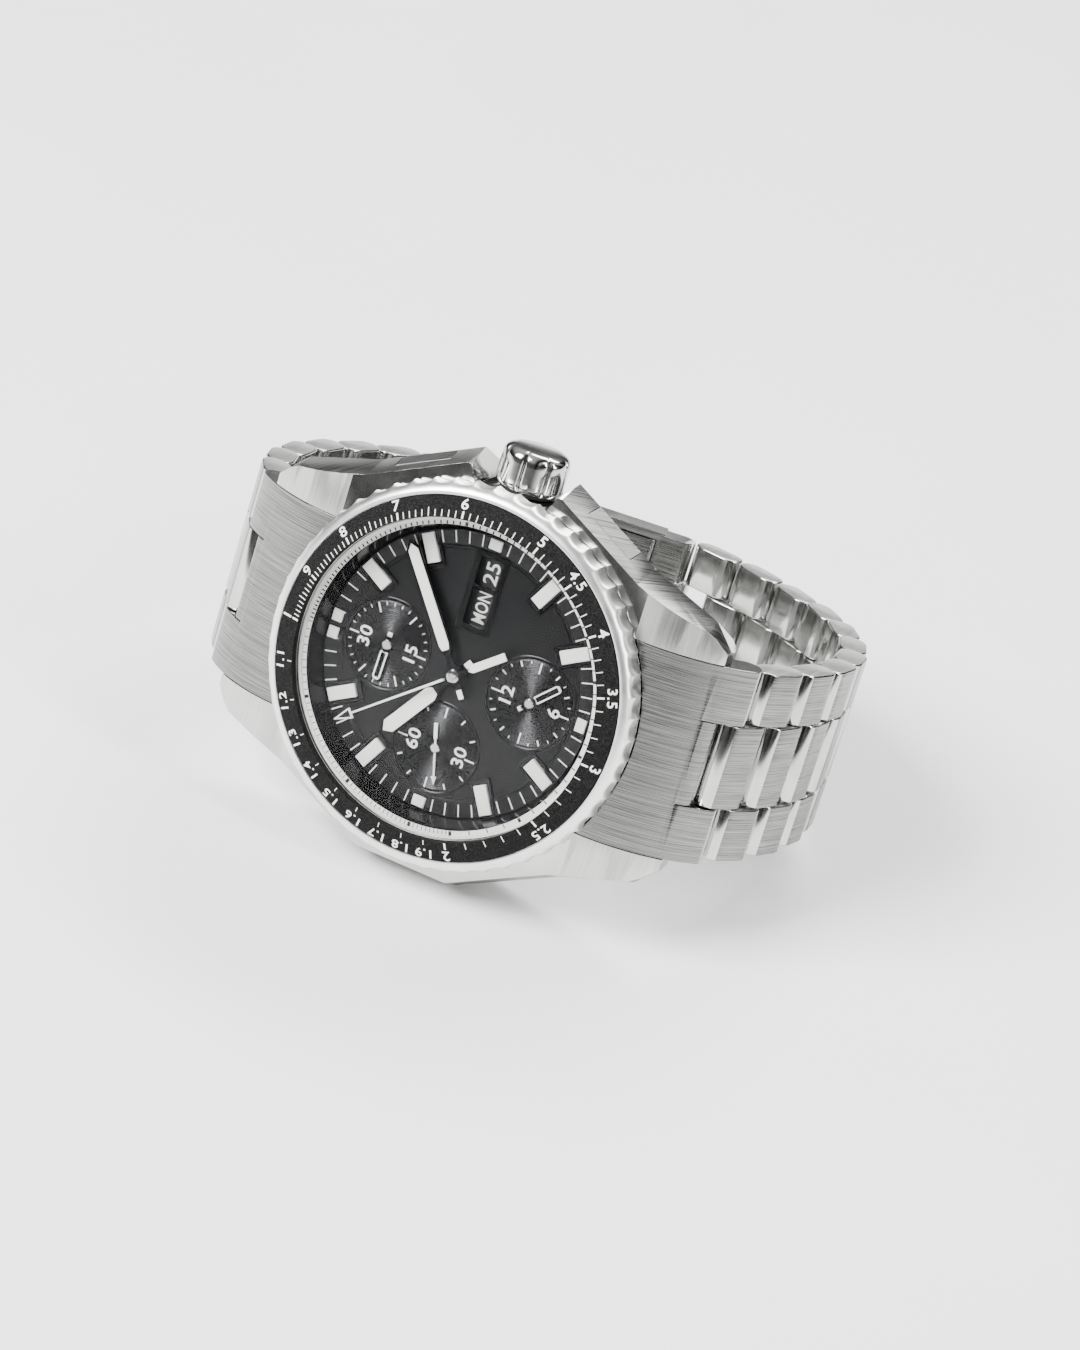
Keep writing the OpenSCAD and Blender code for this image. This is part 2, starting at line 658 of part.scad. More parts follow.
module rotor() color(steel) placed() difference() {
    intersection() {
        union() {
            translate([0, 0, rotor_z]) cylinder(r = rotor_r, h = 0.35);
            translate([0, 0, rotor_z]) ring(rotor_r, rotor_r - 2.6, 1.1);
            translate([0, 0, rotor_z]) cylinder(r = 2.4, h = 0.9);
        }
        union() {
            translate([-20, -20, 0]) cube([40, 20, 10]);
            cylinder(r = 2.4, h = 10);
        }
    }
    cylinder(r = 1.2 + run_gap, h = 10);
}

module date_disc() color(white) placed() translate([0, 0, disc_z]) ring(13.2, 9.0, disc_t);
module day_disc() color(white) placed() translate([0, 0, disc_z]) ring(8.0, 4.5, disc_t);

// ---- Crown, stem and pushers ----

module crown_tube() color(steel) placed() translate([movement_bore_r + 0.1, 0, crown_z]) rotate([0, 90, 0])
    ring(tube_outer_r, tube_r, crown_base_x - movement_bore_r - 0.2);

module crown() color(steel) placed() translate([crown_base_x, 0, crown_z]) rotate([0, 90, 0]) difference() {
    rotate_extrude() polygon([[0, 0], [crown_r - 0.35, 0], [crown_r, 0.35], [crown_r, crown_l - 0.7],
        [crown_r - 0.7, crown_l], [0, crown_l]]);
    for (k = [0 : flute_count - 1]) rotate(360 / flute_count * (k + 0.5))
        translate([crown_r + 0.35, 0, 0.7]) cylinder(r = 0.55, h = crown_l - 1.7, $fn = 24);
}

module stem() color(steel) placed() translate([0, 0, crown_z]) rotate([0, 90, 0]) {
    translate([0, 0, stem_step_x]) cylinder(r = stem_r, h = crown_base_x - stem_step_x);
    translate([0, 0, stem_inner_x]) cylinder(r = stem_neck_r, h = stem_step_x - stem_inner_x);
    translate([0, 0, stem_inner_x]) cylinder(r = stem_r, h = collar_x - run_gap - stem_inner_x);
}

module setting_collar() color(brass) placed() translate([collar_x, 0, crown_z]) rotate([0, 90, 0])
    ring(collar_r, stem_neck_r + run_gap, collar_l);

module pusher(s) color(steel) placed() {
    intersection() {
        difference() {
            case_envelope();
            crown_notch();
        }
        on_flank(s) translate([-pusher_depth, -pusher_w / 2, -pusher_h / 2]) cube([20, pusher_w, pusher_h]);
    }
    on_flank(s) translate([-pusher_depth - pusher_pin_end, 0, 0]) rotate([0, 90, 0])
        cylinder(r = pusher_pin_r, h = pusher_pin_end + 0.5);
}
module start_pusher() pusher(1);
module reset_pusher() pusher(-1);

// ---- Bracelet ----

// Children are drawn in the loop's plane, x along u and y as z, and stand between x = -w and w
module loop_side(side) mirror([0, side > 0 ? 1 : 0, 0]) children();
module loop_extrude(x0, x1) translate([x0, 0, 0]) rotate([90, 0, 90]) linear_extrude(x1 - x0) children();
module both_sides() for (m = [0, 1]) mirror([m, 0, 0]) children();

// A link's outline: a bar with round ends, from s0 to s0 + link_len
module stadium(s0) {
    translate([s0 + cap_r, 0]) circle(r = cap_r);
    translate([s0 + link_len - cap_r, 0]) circle(r = cap_r);
    translate([s0 + cap_r, -cap_r]) square([link_len - 2 * cap_r, 2 * cap_r]);
}

module cross_pin(s, r, hw) translate([-hw, s, 0]) rotate([0, 90, 0]) cylinder(r = r, h = 2 * hw);

// Frame of a link: its pivot at the origin, y along the link and z outwards
module link_frame(side, i) loop_side(side) translate([0, pivot_u(i), pivot_z(i)])
    rotate([-link_angle(i), 0, 0]) children();

// One unit: an outer pair, and a centre piece that sits half a pitch nearer the case
module link_unit(hw, hw_before, is_last) {
    centre = hw * centre_share;
    pin_hw = hw_before - pin_wall - 0.2;
    difference() {
        both_sides() loop_extrude(centre + row_gap, hw) stadium(pivot_back + link_gap / 2);
        if (!is_last) cross_pin(link_pitch, pin_r + run_gap, hw - pin_wall);
    }
    if (is_last) cross_pin(link_pitch, pin_r, centre + 1);
    loop_extrude(-centre, centre) stadium(-pivot_back + link_gap / 2);
    cross_pin(2 * pivot_back, pin_r, centre + 1);
    cross_pin(0, pin_r, pin_hw);
}

module link(side, i) color(steel) placed() link_frame(side, i)
    link_unit(half_w(i), half_w(i - 1), side > 0 && i == links_6);

// The end link: a band that follows the shoulder, with its centre cut back for the first link
module end_band(slope) intersection() {
    difference() {
        translate([shoulder_y, arc_z]) circle(r = shoulder_r, $fn = 128);
        translate([shoulder_y, arc_z]) circle(r = shoulder_r - link_t, $fn = 128);
    }
    translate([shoulder_y, arc_z]) polygon([[0, 0], [0, 40], [40 * sin(slope), 40 * cos(slope)]]);
}
module band_cap(slope) translate([shoulder_y + band_r * sin(slope), arc_z + band_r * cos(slope)])
    circle(r = cap_r);

module end_link(side) color(steel) placed() loop_side(side) difference() {
    union() {
        both_sides() loop_extrude(half_w(1) * centre_share + row_gap, lug_inner_x - 0.05) {
            end_band(end_slope);
            band_cap(end_slope);
        }
        loop_extrude(-lug_inner_x + 0.05, lug_inner_x - 0.05) end_band(root_slope);
        loop_extrude(-half_w(1) * centre_share, half_w(1) * centre_share) {
            end_band(centre_slope);
            band_cap(centre_slope);
        }
    }
    translate([0, 0, -6]) cylinder(r = end_clear_r + air, h = 30);
    translate([0, bar_u, bar_z]) rotate([0, 90, 0])
        cylinder(r = spring_bar_r + run_gap, h = 60, center = true);
    translate([0, first_u, first_z]) rotate([0, 90, 0])
        cylinder(r = pin_r + run_gap, h = 2 * (half_w(0) - pin_wall), center = true);
}

module spring_bars() color(steel) placed() for (s = [-1, 1])
    translate([0, s * bar_u, bar_z]) rotate([0, 90, 0]) {
        cylinder(r = spring_bar_r, h = lug_gap - 0.4, center = true);
        cylinder(r = 0.4, h = lug_gap + 1.6, center = true);
    }

// ---- Clasp ----

// Frame of the clasp: its 12 o'clock pivot at the origin, y towards the 6 o'clock end, z outwards
module clasp_frame() translate([0, -clasp_start[0], clasp_start[1]]) mirror([0, 1, 0])
    rotate([-clasp_slope, 0, 0]) mirror([0, 0, 1]) children();

module clasp_box(x0, x1, s0, s1, t0, t1) translate([x0, s0, t0]) cube([x1 - x0, s1 - s0, t1 - t0]);

module knuckle(x0, x1, s, t) loop_extrude(x0, x1) translate([s, t]) circle(r = knuckle_r);

module hinge_pin(s, t, r, hw) translate([0, 0, t]) cross_pin(s, r, hw);

module clasp_bottom_leaf() color(steel) placed() clasp_frame() {
    tongue = half_w(links_12) * centre_share;
    loop_extrude(-tongue, tongue) {
        translate([link_gap, 0]) circle(r = cap_r);
        translate([link_gap, -cap_r]) square([leaf_s - link_gap + 1, leaf_t]);
    }
    cross_pin(0, pin_r, half_w(links_12) - pin_wall - 0.2);
    clasp_box(-leaf_hw, leaf_hw, leaf_s, hinge_6_s - knuckle_r - air, -cap_r, -cap_r + leaf_t);
    both_sides() clasp_box(tab_hw + air, leaf_hw, hinge_6_s - 2, hinge_6_s, -cap_r, -cap_r + leaf_t);
    both_sides() knuckle(tab_hw + air, leaf_hw, hinge_6_s, hinge_6_t);
    hinge_pin(hinge_6_s, hinge_6_t, hinge_r, tab_hw + 1);
}

module clasp_middle_leaf() color(steel) placed() clasp_frame() difference() {
    union() {
        clasp_box(-tab_hw, tab_hw, hinge_12_s, hinge_6_s, mid_leaf_t, mid_leaf_t + leaf_t);
        clasp_box(-leaf_hw + 0.6, leaf_hw - 0.6, hinge_12_s + 2, hinge_6_s - 2, mid_leaf_t,
            mid_leaf_t + leaf_t);
        knuckle(-tab_hw, tab_hw, hinge_12_s, hinge_12_t);
        knuckle(-tab_hw, tab_hw, hinge_6_s, hinge_6_t);
    }
    hinge_pin(hinge_12_s, hinge_12_t, hinge_r + run_gap, tab_hw + 1);
    hinge_pin(hinge_6_s, hinge_6_t, hinge_r + run_gap, tab_hw + 1);
}

module clasp_cover() color(steel) placed() clasp_frame() {
    block_s = clasp_l - 2 * cap_r;
    tongue = half_w(links_6) * centre_share;
    clasp_box(-clasp_hw, clasp_hw, cover_s, cover_end_s, cover_top - cover_lid_t, cover_top);
    both_sides() clasp_box(clasp_hw - cover_wall, clasp_hw, cover_s, cover_end_s, cover_skirt,
        cover_top - cover_lid_t + 0.01);
    loop_extrude(-clasp_hw + 0.2, clasp_hw - 0.2) {
        translate([block_s, 0]) circle(r = cap_r);
        translate([cover_end_s - 0.3, -cap_r]) square([block_s - cover_end_s + 0.3, 2 * cap_r]);
    }
    loop_extrude(-tongue, tongue) {
        translate([tongue_s, 0]) circle(r = cap_r);
        translate([block_s, -cap_r]) square([tongue_s - block_s, 2 * cap_r]);
    }
    both_sides() {
        knuckle(tab_hw + air, tab_hw + 2.5, hinge_12_s, hinge_12_t);
        clasp_box(tab_hw + air, tab_hw + 2.5, hinge_12_s - 0.5, hinge_12_s + 0.5, hinge_12_t,
            cover_top - 0.5);
    }
    hinge_pin(hinge_12_s, hinge_12_t, hinge_r, tab_hw + 1);
}

case_middle();
caseback();
caseback_gasket();
crystal();
crystal_gasket();
crown_tube();
dial();
scale_ring();
hour_markers();
bezel();
bezel_insert();
crown();
stem();
setting_collar();
start_pusher();
reset_pusher();
hour_hand();
minute_hand();
chrono_hand();
seconds_hand();
minute_counter_hand();
hour_counter_hand();
movement_ring();
mainplate();
train_bridge();
barrel();
centre_wheel();
third_wheel();
fourth_wheel();
escape_wheel();
pallet_fork();
balance();
rotor();
date_disc();
day_disc();
end_link(1);  // end_link_6
end_link(-1);  // end_link_12
spring_bars();
clasp_bottom_leaf();
clasp_middle_leaf();
clasp_cover();
for (i = [1 : links_6]) link(1, i);
for (i = [1 : links_12]) link(-1, i);
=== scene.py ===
"""Looks for a steel chronograph wristwatch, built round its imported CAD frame.

Lengths inside the builders are in millimetres in the watch's own axes: x towards 3 o'clock, y towards
12 o'clock and z out of the dial, with z = 0 on the caseback's flat face. Axes.place() turns them into
metres in the row's frame.
"""

from __future__ import annotations

import json
import logging
import math
from dataclasses import dataclass, field
from enum import Enum
from typing import Callable, Iterable, Sequence

import bmesh
import bpy
import numpy as np
from mathutils import Matrix, Vector

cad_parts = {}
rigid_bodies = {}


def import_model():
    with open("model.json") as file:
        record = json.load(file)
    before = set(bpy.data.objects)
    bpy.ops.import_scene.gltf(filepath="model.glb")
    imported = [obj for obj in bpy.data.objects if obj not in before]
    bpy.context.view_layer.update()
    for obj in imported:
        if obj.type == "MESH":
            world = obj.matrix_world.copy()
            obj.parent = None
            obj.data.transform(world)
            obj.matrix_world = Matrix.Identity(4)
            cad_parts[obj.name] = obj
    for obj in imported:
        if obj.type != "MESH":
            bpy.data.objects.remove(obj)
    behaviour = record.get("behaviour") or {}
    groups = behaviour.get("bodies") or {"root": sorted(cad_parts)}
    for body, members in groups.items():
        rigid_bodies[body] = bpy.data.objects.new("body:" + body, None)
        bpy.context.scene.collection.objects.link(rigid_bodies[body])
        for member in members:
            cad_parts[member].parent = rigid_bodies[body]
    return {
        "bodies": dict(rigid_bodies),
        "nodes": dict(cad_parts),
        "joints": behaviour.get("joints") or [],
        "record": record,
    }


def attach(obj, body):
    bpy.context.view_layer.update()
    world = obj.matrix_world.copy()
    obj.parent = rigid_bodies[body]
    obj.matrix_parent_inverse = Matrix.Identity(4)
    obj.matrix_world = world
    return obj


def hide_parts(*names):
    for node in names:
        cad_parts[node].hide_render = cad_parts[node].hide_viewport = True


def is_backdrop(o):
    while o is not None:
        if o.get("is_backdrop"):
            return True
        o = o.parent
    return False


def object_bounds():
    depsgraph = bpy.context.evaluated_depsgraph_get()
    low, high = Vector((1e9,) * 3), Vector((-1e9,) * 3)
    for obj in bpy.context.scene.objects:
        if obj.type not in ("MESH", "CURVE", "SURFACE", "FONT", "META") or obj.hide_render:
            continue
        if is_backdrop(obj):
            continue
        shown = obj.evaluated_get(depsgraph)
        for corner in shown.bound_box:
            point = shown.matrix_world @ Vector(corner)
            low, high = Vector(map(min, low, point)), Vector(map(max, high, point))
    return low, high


LOG = logging.getLogger("watch")
MM = 0.001
TURN = 2.0 * math.pi
# Points this close, in metres, are merged: in a new shape, and in a copy of a CAD node.
MERGE, COPY_MERGE = 2e-7, 1e-6
# Faces of a copy that turn by less than FLAT are joined, and edges sharper than SHARP are shaded sharp.
FLAT, SHARP = math.radians(0.6), math.radians(32)

# Any finish, for type hints.
Finish = "SteelFinish | PaintFinish | DialFinish | GlassFinish"


# ---------------------------------------------------------------- axes and meshes


@dataclass
class Axes:
    """Right-handed axes somewhere in the row's frame.

    Args:
        origin: where the axes start, in metres.
        basis: three rows, the directions of x, y and z in the row's frame.
    """

    origin: np.ndarray
    basis: np.ndarray

    def place(self, points: np.ndarray) -> np.ndarray:
        """Millimetres in these axes to metres in the row's frame."""
        return self.origin + (np.asarray(points, float) @ self.basis) * MM

    def read(self, points: np.ndarray) -> np.ndarray:
        """Metres in the row's frame to millimetres in these axes."""
        return ((np.asarray(points, float) - self.origin) @ self.basis.T) / MM

    def sub(self, origin: Sequence[float], x: Sequence[float], y: Sequence[float]) -> "Axes":
        """Axes inside these ones.

        Args:
            origin: their start, in millimetres.
            x: direction of the new x.
            y: direction of the new y, square to x.

        Returns:
            The new axes, with z = x cross y.
        """
        first, second = np.asarray(x, float), np.asarray(y, float)
        rows = np.stack([first, second, np.cross(first, second)])
        return Axes(self.place(np.asarray(origin, float)), rows @ self.basis)

    def euler(self) -> tuple[float, float, float]:
        """The turn that carries the world's axes onto these, for a Mapping node."""
        return tuple(Matrix(self.basis.T.tolist()).to_euler())


def quads(rows: int, columns: int, wrap_rows: bool, wrap_columns: bool) -> np.ndarray:
    """Faces of a grid of points stored row by row.

    Args:
        rows: number of rows.
        columns: points in a row.
        wrap_rows: whether the last row joins the first.
        wrap_columns: whether the last column joins the first.

    Returns:
        An array of four indexes a face.
    """
    i = np.arange(rows if wrap_rows else rows - 1)[:, None]
    j = np.arange(columns if wrap_columns else columns - 1)[None, :]
    k, m = (i + 1) % rows, (j + 1) % columns
    corners = [i * columns + j, k * columns + j, k * columns + m, i * columns + m]
    return np.stack([np.broadcast_to(c, (i.size, j.size)) for c in corners], -1).reshape(-1, 4)


def link_object(name: str, data: bpy.types.ID) -> bpy.types.Object:
    """A new object for the data, linked to the scene."""
    made = bpy.data.objects.new(name, data)
    bpy.context.scene.collection.objects.link(made)
    return made


def read_vectors(items: bpy.types.bpy_prop_collection, name: str) -> np.ndarray:
    """A vector property of every item, one row each."""
    values = np.zeros(len(items) * 3)
    items.foreach_get(name, values)
    return values.reshape(-1, 3)


class Shape:
    """Gathers surfaces, in millimetres, into one mesh with a finish number for each face."""

    def __init__(self) -> None:
        """Starts empty."""
        self.points: list[np.ndarray] = []
        self.faces: list[list[int]] = []
        self.finish: list[int] = []
        self.count = 0

    def add(self, points: np.ndarray, faces: Iterable[Sequence[int]],
            finish: int | np.ndarray = 0) -> "Shape":
        """Adds a surface.

        Args:
            points: its points, n by 3.
            faces: its faces, as indexes into those points.
            finish: one finish number, or one for each face.

        Returns:
            This shape, so that calls can be chained.
        """
        points = np.asarray(points, float).reshape(-1, 3)
        rows = faces.tolist() if isinstance(faces, np.ndarray) else [list(f) for f in faces]
        start = self.count
        self.faces += [[start + v for v in row] for row in rows]
        self.finish += np.broadcast_to(finish, len(rows)).tolist()
        self.points.append(points)
        self.count += len(points)
        return self

    def build(self, name: str, axes: Axes, finishes: Sequence["Finish"],
              flat: bool = False) -> bpy.types.Object:
        """Makes the object, merged, with its faces turned outwards.

        Args:
            name: the piece's name.
            axes: the axes that the points are in.
            finishes: what the finish numbers mean.
            flat: whether every face is shaded flat.

        Returns:
            The new object, at the origin, with its place in its mesh.
        """
        mesh = bpy.data.meshes.new(name)
        mesh.from_pydata(axes.place(np.concatenate(self.points)).tolist(), [], self.faces)
        mesh.polygons.foreach_set("material_index", np.array(self.finish, np.int32))
        work = bmesh.new()
        work.from_mesh(mesh)
        bmesh.ops.remove_doubles(work, verts=work.verts, dist=MERGE)
        bmesh.ops.recalc_face_normals(work, faces=work.faces)
        work.to_mesh(mesh)
        work.free()
        for finish in finishes:
            mesh.materials.append(finish.material())
        if not flat:
            mesh.shade_smooth()
            mesh.set_sharp_from_angle(angle=SHARP)
        return link_object(name, mesh)


def circle(steps: int) -> np.ndarray:
    """Angles evenly round a full turn."""
    return np.arange(steps) * TURN / steps


def revolve(profile: Sequence[Sequence[float]], steps: int = 96,
            wave: Callable[[np.ndarray, np.ndarray], np.ndarray] | None = None) -> tuple[np.ndarray, np.ndarray]:
    """Turns a closed outline of (radius, height) points about z.

    The point for angle a and outline point (r, h) is (r' cos a, r' sin a, h), where r' is r less wave(a, r).

    Args:
        profile: the outline, closed on itself.
        steps: number of steps round the turn.
        wave: an inward shift that depends on the angle and the radius.

    Returns:
        The points and the faces.
    """
    outline = np.asarray(profile, float)
    angle = circle(steps)[:, None]
    radius = np.broadcast_to(outline[None, :, 0], (steps, len(outline)))
    if wave is not None:
        radius = radius - wave(angle, radius)
    height = np.broadcast_to(outline[None, :, 1], radius.shape)
    points = np.stack([radius * np.cos(angle), radius * np.sin(angle), height], -1)
    return points.reshape(-1, 3), quads(steps, len(outline), True, True)


def inset(outline: np.ndarray, depth: float) -> np.ndarray:
    """Moves an outline inwards along its corners' bisectors.

    A corner moves by depth times the sum of its two inward normals, over that sum's share along one of them. The
    share is held above 0.3, so that a sharp corner stays put.

    Args:
        outline: the corners, counter-clockwise.
        depth: how far each side moves.

    Returns:
        The moved corners.
    """
    before, after = np.roll(outline, 1, 0), np.roll(outline, -1, 0)
    a, b = outline - before, after - outline
    a /= np.linalg.norm(a, axis=1, keepdims=True)
    b /= np.linalg.norm(b, axis=1, keepdims=True)
    normal_a, normal_b = np.stack([-a[:, 1], a[:, 0]], 1), np.stack([-b[:, 1], b[:, 0]], 1)
    middle = normal_a + normal_b
    return outline + depth * middle / np.maximum((middle * normal_a).sum(1, keepdims=True), 0.3)


def slab(outline: Sequence[Sequence[float]], low: float, high: float, edge: float = 0.0,
         foot: float = 0.0) -> tuple[np.ndarray, list[list[int]]]:
    """A prism with a chamfer round its top, and round its foot where foot is above 0.

    Rings of the outline are stacked from low to high, and the outer ones are inset by the chamfer.

    Args:
        outline: its plan, counter-clockwise.
        low: height of its underside.
        high: height of its top.
        edge: the top chamfer.
        foot: the bottom chamfer.

    Returns:
        The points and the faces.
    """
    plan = np.asarray(outline, float)
    levels = [(low, foot)] + ([(low + foot, 0.0)] if foot else [])
    levels += ([(high - edge, 0.0)] if edge else []) + [(high, edge)]
    rings = [np.column_stack([inset(plan, shift), np.full(len(plan), z)]) for z, shift in levels]
    faces = quads(len(rings), len(plan), False, True).tolist()
    last = (len(rings) - 1) * len(plan)
    faces.append(list(range(len(plan)))[::-1])
    faces.append(list(range(last, last + len(plan))))
    return np.concatenate(rings), faces


def loft(outline: np.ndarray, start: float, end: float, edge: float) -> tuple[np.ndarray, np.ndarray, list]:
    """Carries an outline of (y, z) points along x from start to end, with rounded edges at both ends.

    Each station is the outline inset by edge times (1 - cos t), at edge times (1 - sin t) from the end face.

    Args:
        outline: the section, counter-clockwise seen from +x.
        start: x of one end face.
        end: x of the other.
        edge: radius of the edge round each end.

    Returns:
        The points, the side faces and the two end faces.
    """
    turn = np.array([0.0, 0.35, 0.7, 1.0]) * math.pi / 2
    shift = edge * (1 - np.sin(turn))
    along = edge * (1 - np.cos(turn))
    stations = [(start + a, s) for a, s in zip(along, shift)]
    stations += [(end - a, s) for a, s in zip(along[::-1], shift[::-1])]
    rings = [np.column_stack([np.full(len(outline), x), inset(outline, s)]) for x, s in stations]
    count = len(outline)
    caps = [list(range(count))[::-1], list(range((len(rings) - 1) * count, len(rings) * count))]
    return np.concatenate(rings), quads(len(rings), count, False, True), caps


def spin(points: np.ndarray, angle: float, centre: Sequence[float] = (0.0, 0.0)) -> np.ndarray:
    """Turns points clockwise about z, and then moves them to a centre.

    Args:
        points: the points, with their height last.
        angle: the turn, in radians.
        centre: plan position that they move to.

    Returns:
        The turned points.
    """
    c, s = math.cos(-angle), math.sin(-angle)
    turned = np.array(points, float)
    turned[..., :2] = turned[..., :2] @ np.array([[c, s], [-s, c]]) + np.asarray(centre, float)
    return turned


def clock(angle: np.ndarray | float, radius: np.ndarray | float) -> np.ndarray:
    """Plan points at clockwise angles from 12 o'clock."""
    return np.stack([radius * np.sin(angle), radius * np.cos(angle)], -1)


def ticks(angles: Sequence[float], inner: Sequence[float] | float, outer: Sequence[float] | float,
          width: Sequence[float] | float, height: Callable[[np.ndarray], np.ndarray], thick: float,
          centre: Sequence[float] = (0.0, 0.0)) -> tuple[np.ndarray, np.ndarray]:
    """Thin radial bars on a turned surface.

    Every bar is a box of eight corners, four on the surface at height(r) and four a thickness above it.

    Args:
        angles: clockwise from 12 o'clock, in radians.
        inner: radius of each bar's inner end.
        outer: radius of each bar's outer end.
        width: width of each bar.
        height: the surface's height at a radius.
        thick: how far the bars stand above the surface.
        centre: plan position of the scale's middle.

    Returns:
        The points and the faces.
    """
    a = np.asarray(angles, float)
    r0, r1, w = (np.broadcast_to(np.asarray(v, float), a.shape) for v in (inner, outer, width))
    corners = []
    for level in (0.0, thick):
        for radius, side in ((r0, -0.5), (r1, -0.5), (r1, 0.5), (r0, 0.5)):
            plan = clock(a, radius) + (side * w)[:, None] * np.stack([np.cos(a), -np.sin(a)], -1)
            corners.append(np.column_stack([plan + np.asarray(centre, float), height(radius) + level]))
    points = np.stack(corners, 1)
    box = np.array([[0, 3, 2, 1], [4, 5, 6, 7], [0, 1, 5, 4], [1, 2, 6, 5], [2, 3, 7, 6], [3, 0, 4, 7]])
    faces = (np.arange(len(a)) * 8)[:, None, None] + box[None]
    return points.reshape(-1, 3), faces.reshape(-1, 4)


def lettering(text: str, size: float, thick: float, weight: float = 0.0, widen: float = 1.0,
              spacing: float = 1.0) -> tuple[np.ndarray, list[list[int]]]:
    """Numbers or letters as a thin solid, centred on the origin and lying in the xy plane.

    Args:
        text: what it says.
        size: the font's size, in millimetres.
        thick: its thickness above z = 0.
        weight: how much each stroke is fattened.
        widen: stretch along the line.
        spacing: distance between letters, as a multiple.

    Returns:
        The points and the faces.
    """
    curve = bpy.data.curves.new("lettering", "FONT")
    curve.body, curve.size, curve.offset = text, size, weight
    curve.align_x, curve.align_y = "CENTER", "CENTER"
    curve.extrude, curve.resolution_u, curve.space_character = thick / 2, 3, spacing
    holder = link_object("lettering", curve)
    bpy.context.view_layer.update()
    mesh = bpy.data.meshes.new_from_object(holder)
    points = read_vectors(mesh.vertices, "co")
    faces = [list(p.vertices) for p in mesh.polygons]
    bpy.data.meshes.remove(mesh)
    bpy.data.objects.remove(holder)
    bpy.data.curves.remove(curve)
    points[:, :2] -= (points[:, :2].max(0) + points[:, :2].min(0)) / 2
    points[:, 0] *= widen
    points[:, 2] += thick / 2
    return points, faces


def rounded_box(width: float, length: float, radius: float, steps: int = 5) -> np.ndarray:
    """A rectangle about the origin whose corners are quarter circles.

    Args:
        width: its size along x.
        length: its size along y.
        radius: radius of its corners.
        steps: points in each corner.

    Returns:
        The outline, counter-clockwise.
    """
    turn = np.linspace(0, math.pi / 2, steps)
    corners = []
    for quarter, (sx, sy) in enumerate(((1, 1), (-1, 1), (-1, -1), (1, -1))):
        a = turn + quarter * math.pi / 2
        middle = np.array([sx * (width / 2 - radius), sy * (length / 2 - radius)])
        corners.append(middle + radius * np.stack([np.cos(a), np.sin(a)], -1))
    return np.concatenate(corners)


def frame_band(outer: np.ndarray, inner: np.ndarray, low: float, high: float,
               edge: float) -> tuple[np.ndarray, np.ndarray]:
    """A raised rim between two outlines, chamfered on both top edges.

    Six rings are stacked up the outer outline, over the top and down the inner one.

    Args:
        outer: the outer outline, counter-clockwise.
        inner: the inner one, with as many points.
        low: height of its foot.
        high: height of its top.
        edge: the chamfer.

    Returns:
        The points and the faces.
    """
    rings = [(outer, low), (outer, high - edge), (inset(outer, edge), high), (inset(inner, -edge), high),
             (inner, high - edge), (inner, low)]
    points = np.concatenate([np.column_stack([plan, np.full(len(plan), z)]) for plan, z in rings])
    return points, quads(len(rings), len(outer), True, True)


# ---------------------------------------------------------------- finishes


def linear(hex_colour: str) -> tuple[float, float, float, float]:
    """Turns a colour linear by the sRGB curve.

    Args:
        hex_colour: the colour, such as #a0a0a0.

    Returns:
        Linear red, green and blue, and an alpha of 1.
    """
    value = np.array([int(hex_colour[i:i + 2], 16) / 255 for i in (1, 3, 5)])
    value = np.where(value <= 0.04045, value / 12.92, ((value + 0.055) / 1.055) ** 2.4)
    return (*value.tolist(), 1.0)


def add_node(tree: bpy.types.NodeTree, kind: str, inputs: dict | None = None, **settings) -> bpy.types.Node:
    """Adds a shader node.

    Args:
        tree: the material's node tree.
        kind: the node's type.
        inputs: for each input, by name or number, a value or the output socket that feeds it.
        settings: the node's own properties.

    Returns:
        The new node.
    """
    made = tree.nodes.new(kind)
    for key, value in settings.items():
        setattr(made, key, value)
    for key, value in (inputs or {}).items():
        if isinstance(value, bpy.types.NodeSocket):
            tree.links.new(value, made.inputs[key])
        else:
            made.inputs[key].default_value = value
    return made


def ramp(tree: bpy.types.NodeTree, factor: bpy.types.NodeSocket,
         stops: Sequence[tuple[float, str]]) -> bpy.types.Node:
    """A colour ramp.

    Args:
        tree: the node tree.
        factor: the socket that drives it.
        stops: place and sRGB hex colour of each stop.

    Returns:
        The ramp's node.
    """
    made = add_node(tree, "ShaderNodeValToRGB", {"Fac": factor})
    elements = made.color_ramp.elements
    while len(elements) < len(stops):
        elements.new(0.5)
    for element, (place, colour) in zip(elements, stops):
        element.position, element.color = place, linear(colour)
    return made


class Base:
    """What every finish shares: one material, made the first time that it is asked for."""

    made: dict[str, bpy.types.Material] = {}

    def start(self, name: str) -> tuple[bpy.types.Material, bpy.types.NodeTree, bpy.types.Node]:
        """A new material with a Principled shader and its output."""
        material = bpy.data.materials.new(name)
        material.use_nodes = True
        tree = material.node_tree
        tree.nodes.clear()
        shader = add_node(tree, "ShaderNodeBsdfPrincipled")
        add_node(tree, "ShaderNodeOutputMaterial", {"Surface": shader.outputs["BSDF"]})
        return material, tree, shader

    @staticmethod
    def connect(tree: bpy.types.NodeTree, shader: bpy.types.Node, *sockets: bpy.types.NodeSocket) -> None:
        """Feeds the shader's colour, roughness and normal, in that order."""
        for name, socket in zip(("Base Color", "Roughness", "Normal"), sockets):
            tree.links.new(socket, shader.inputs[name])

    def material(self) -> bpy.types.Material:
        """The finish's material."""
        if self.name not in Base.made:
            Base.made[self.name] = self.mix()
        return Base.made[self.name]


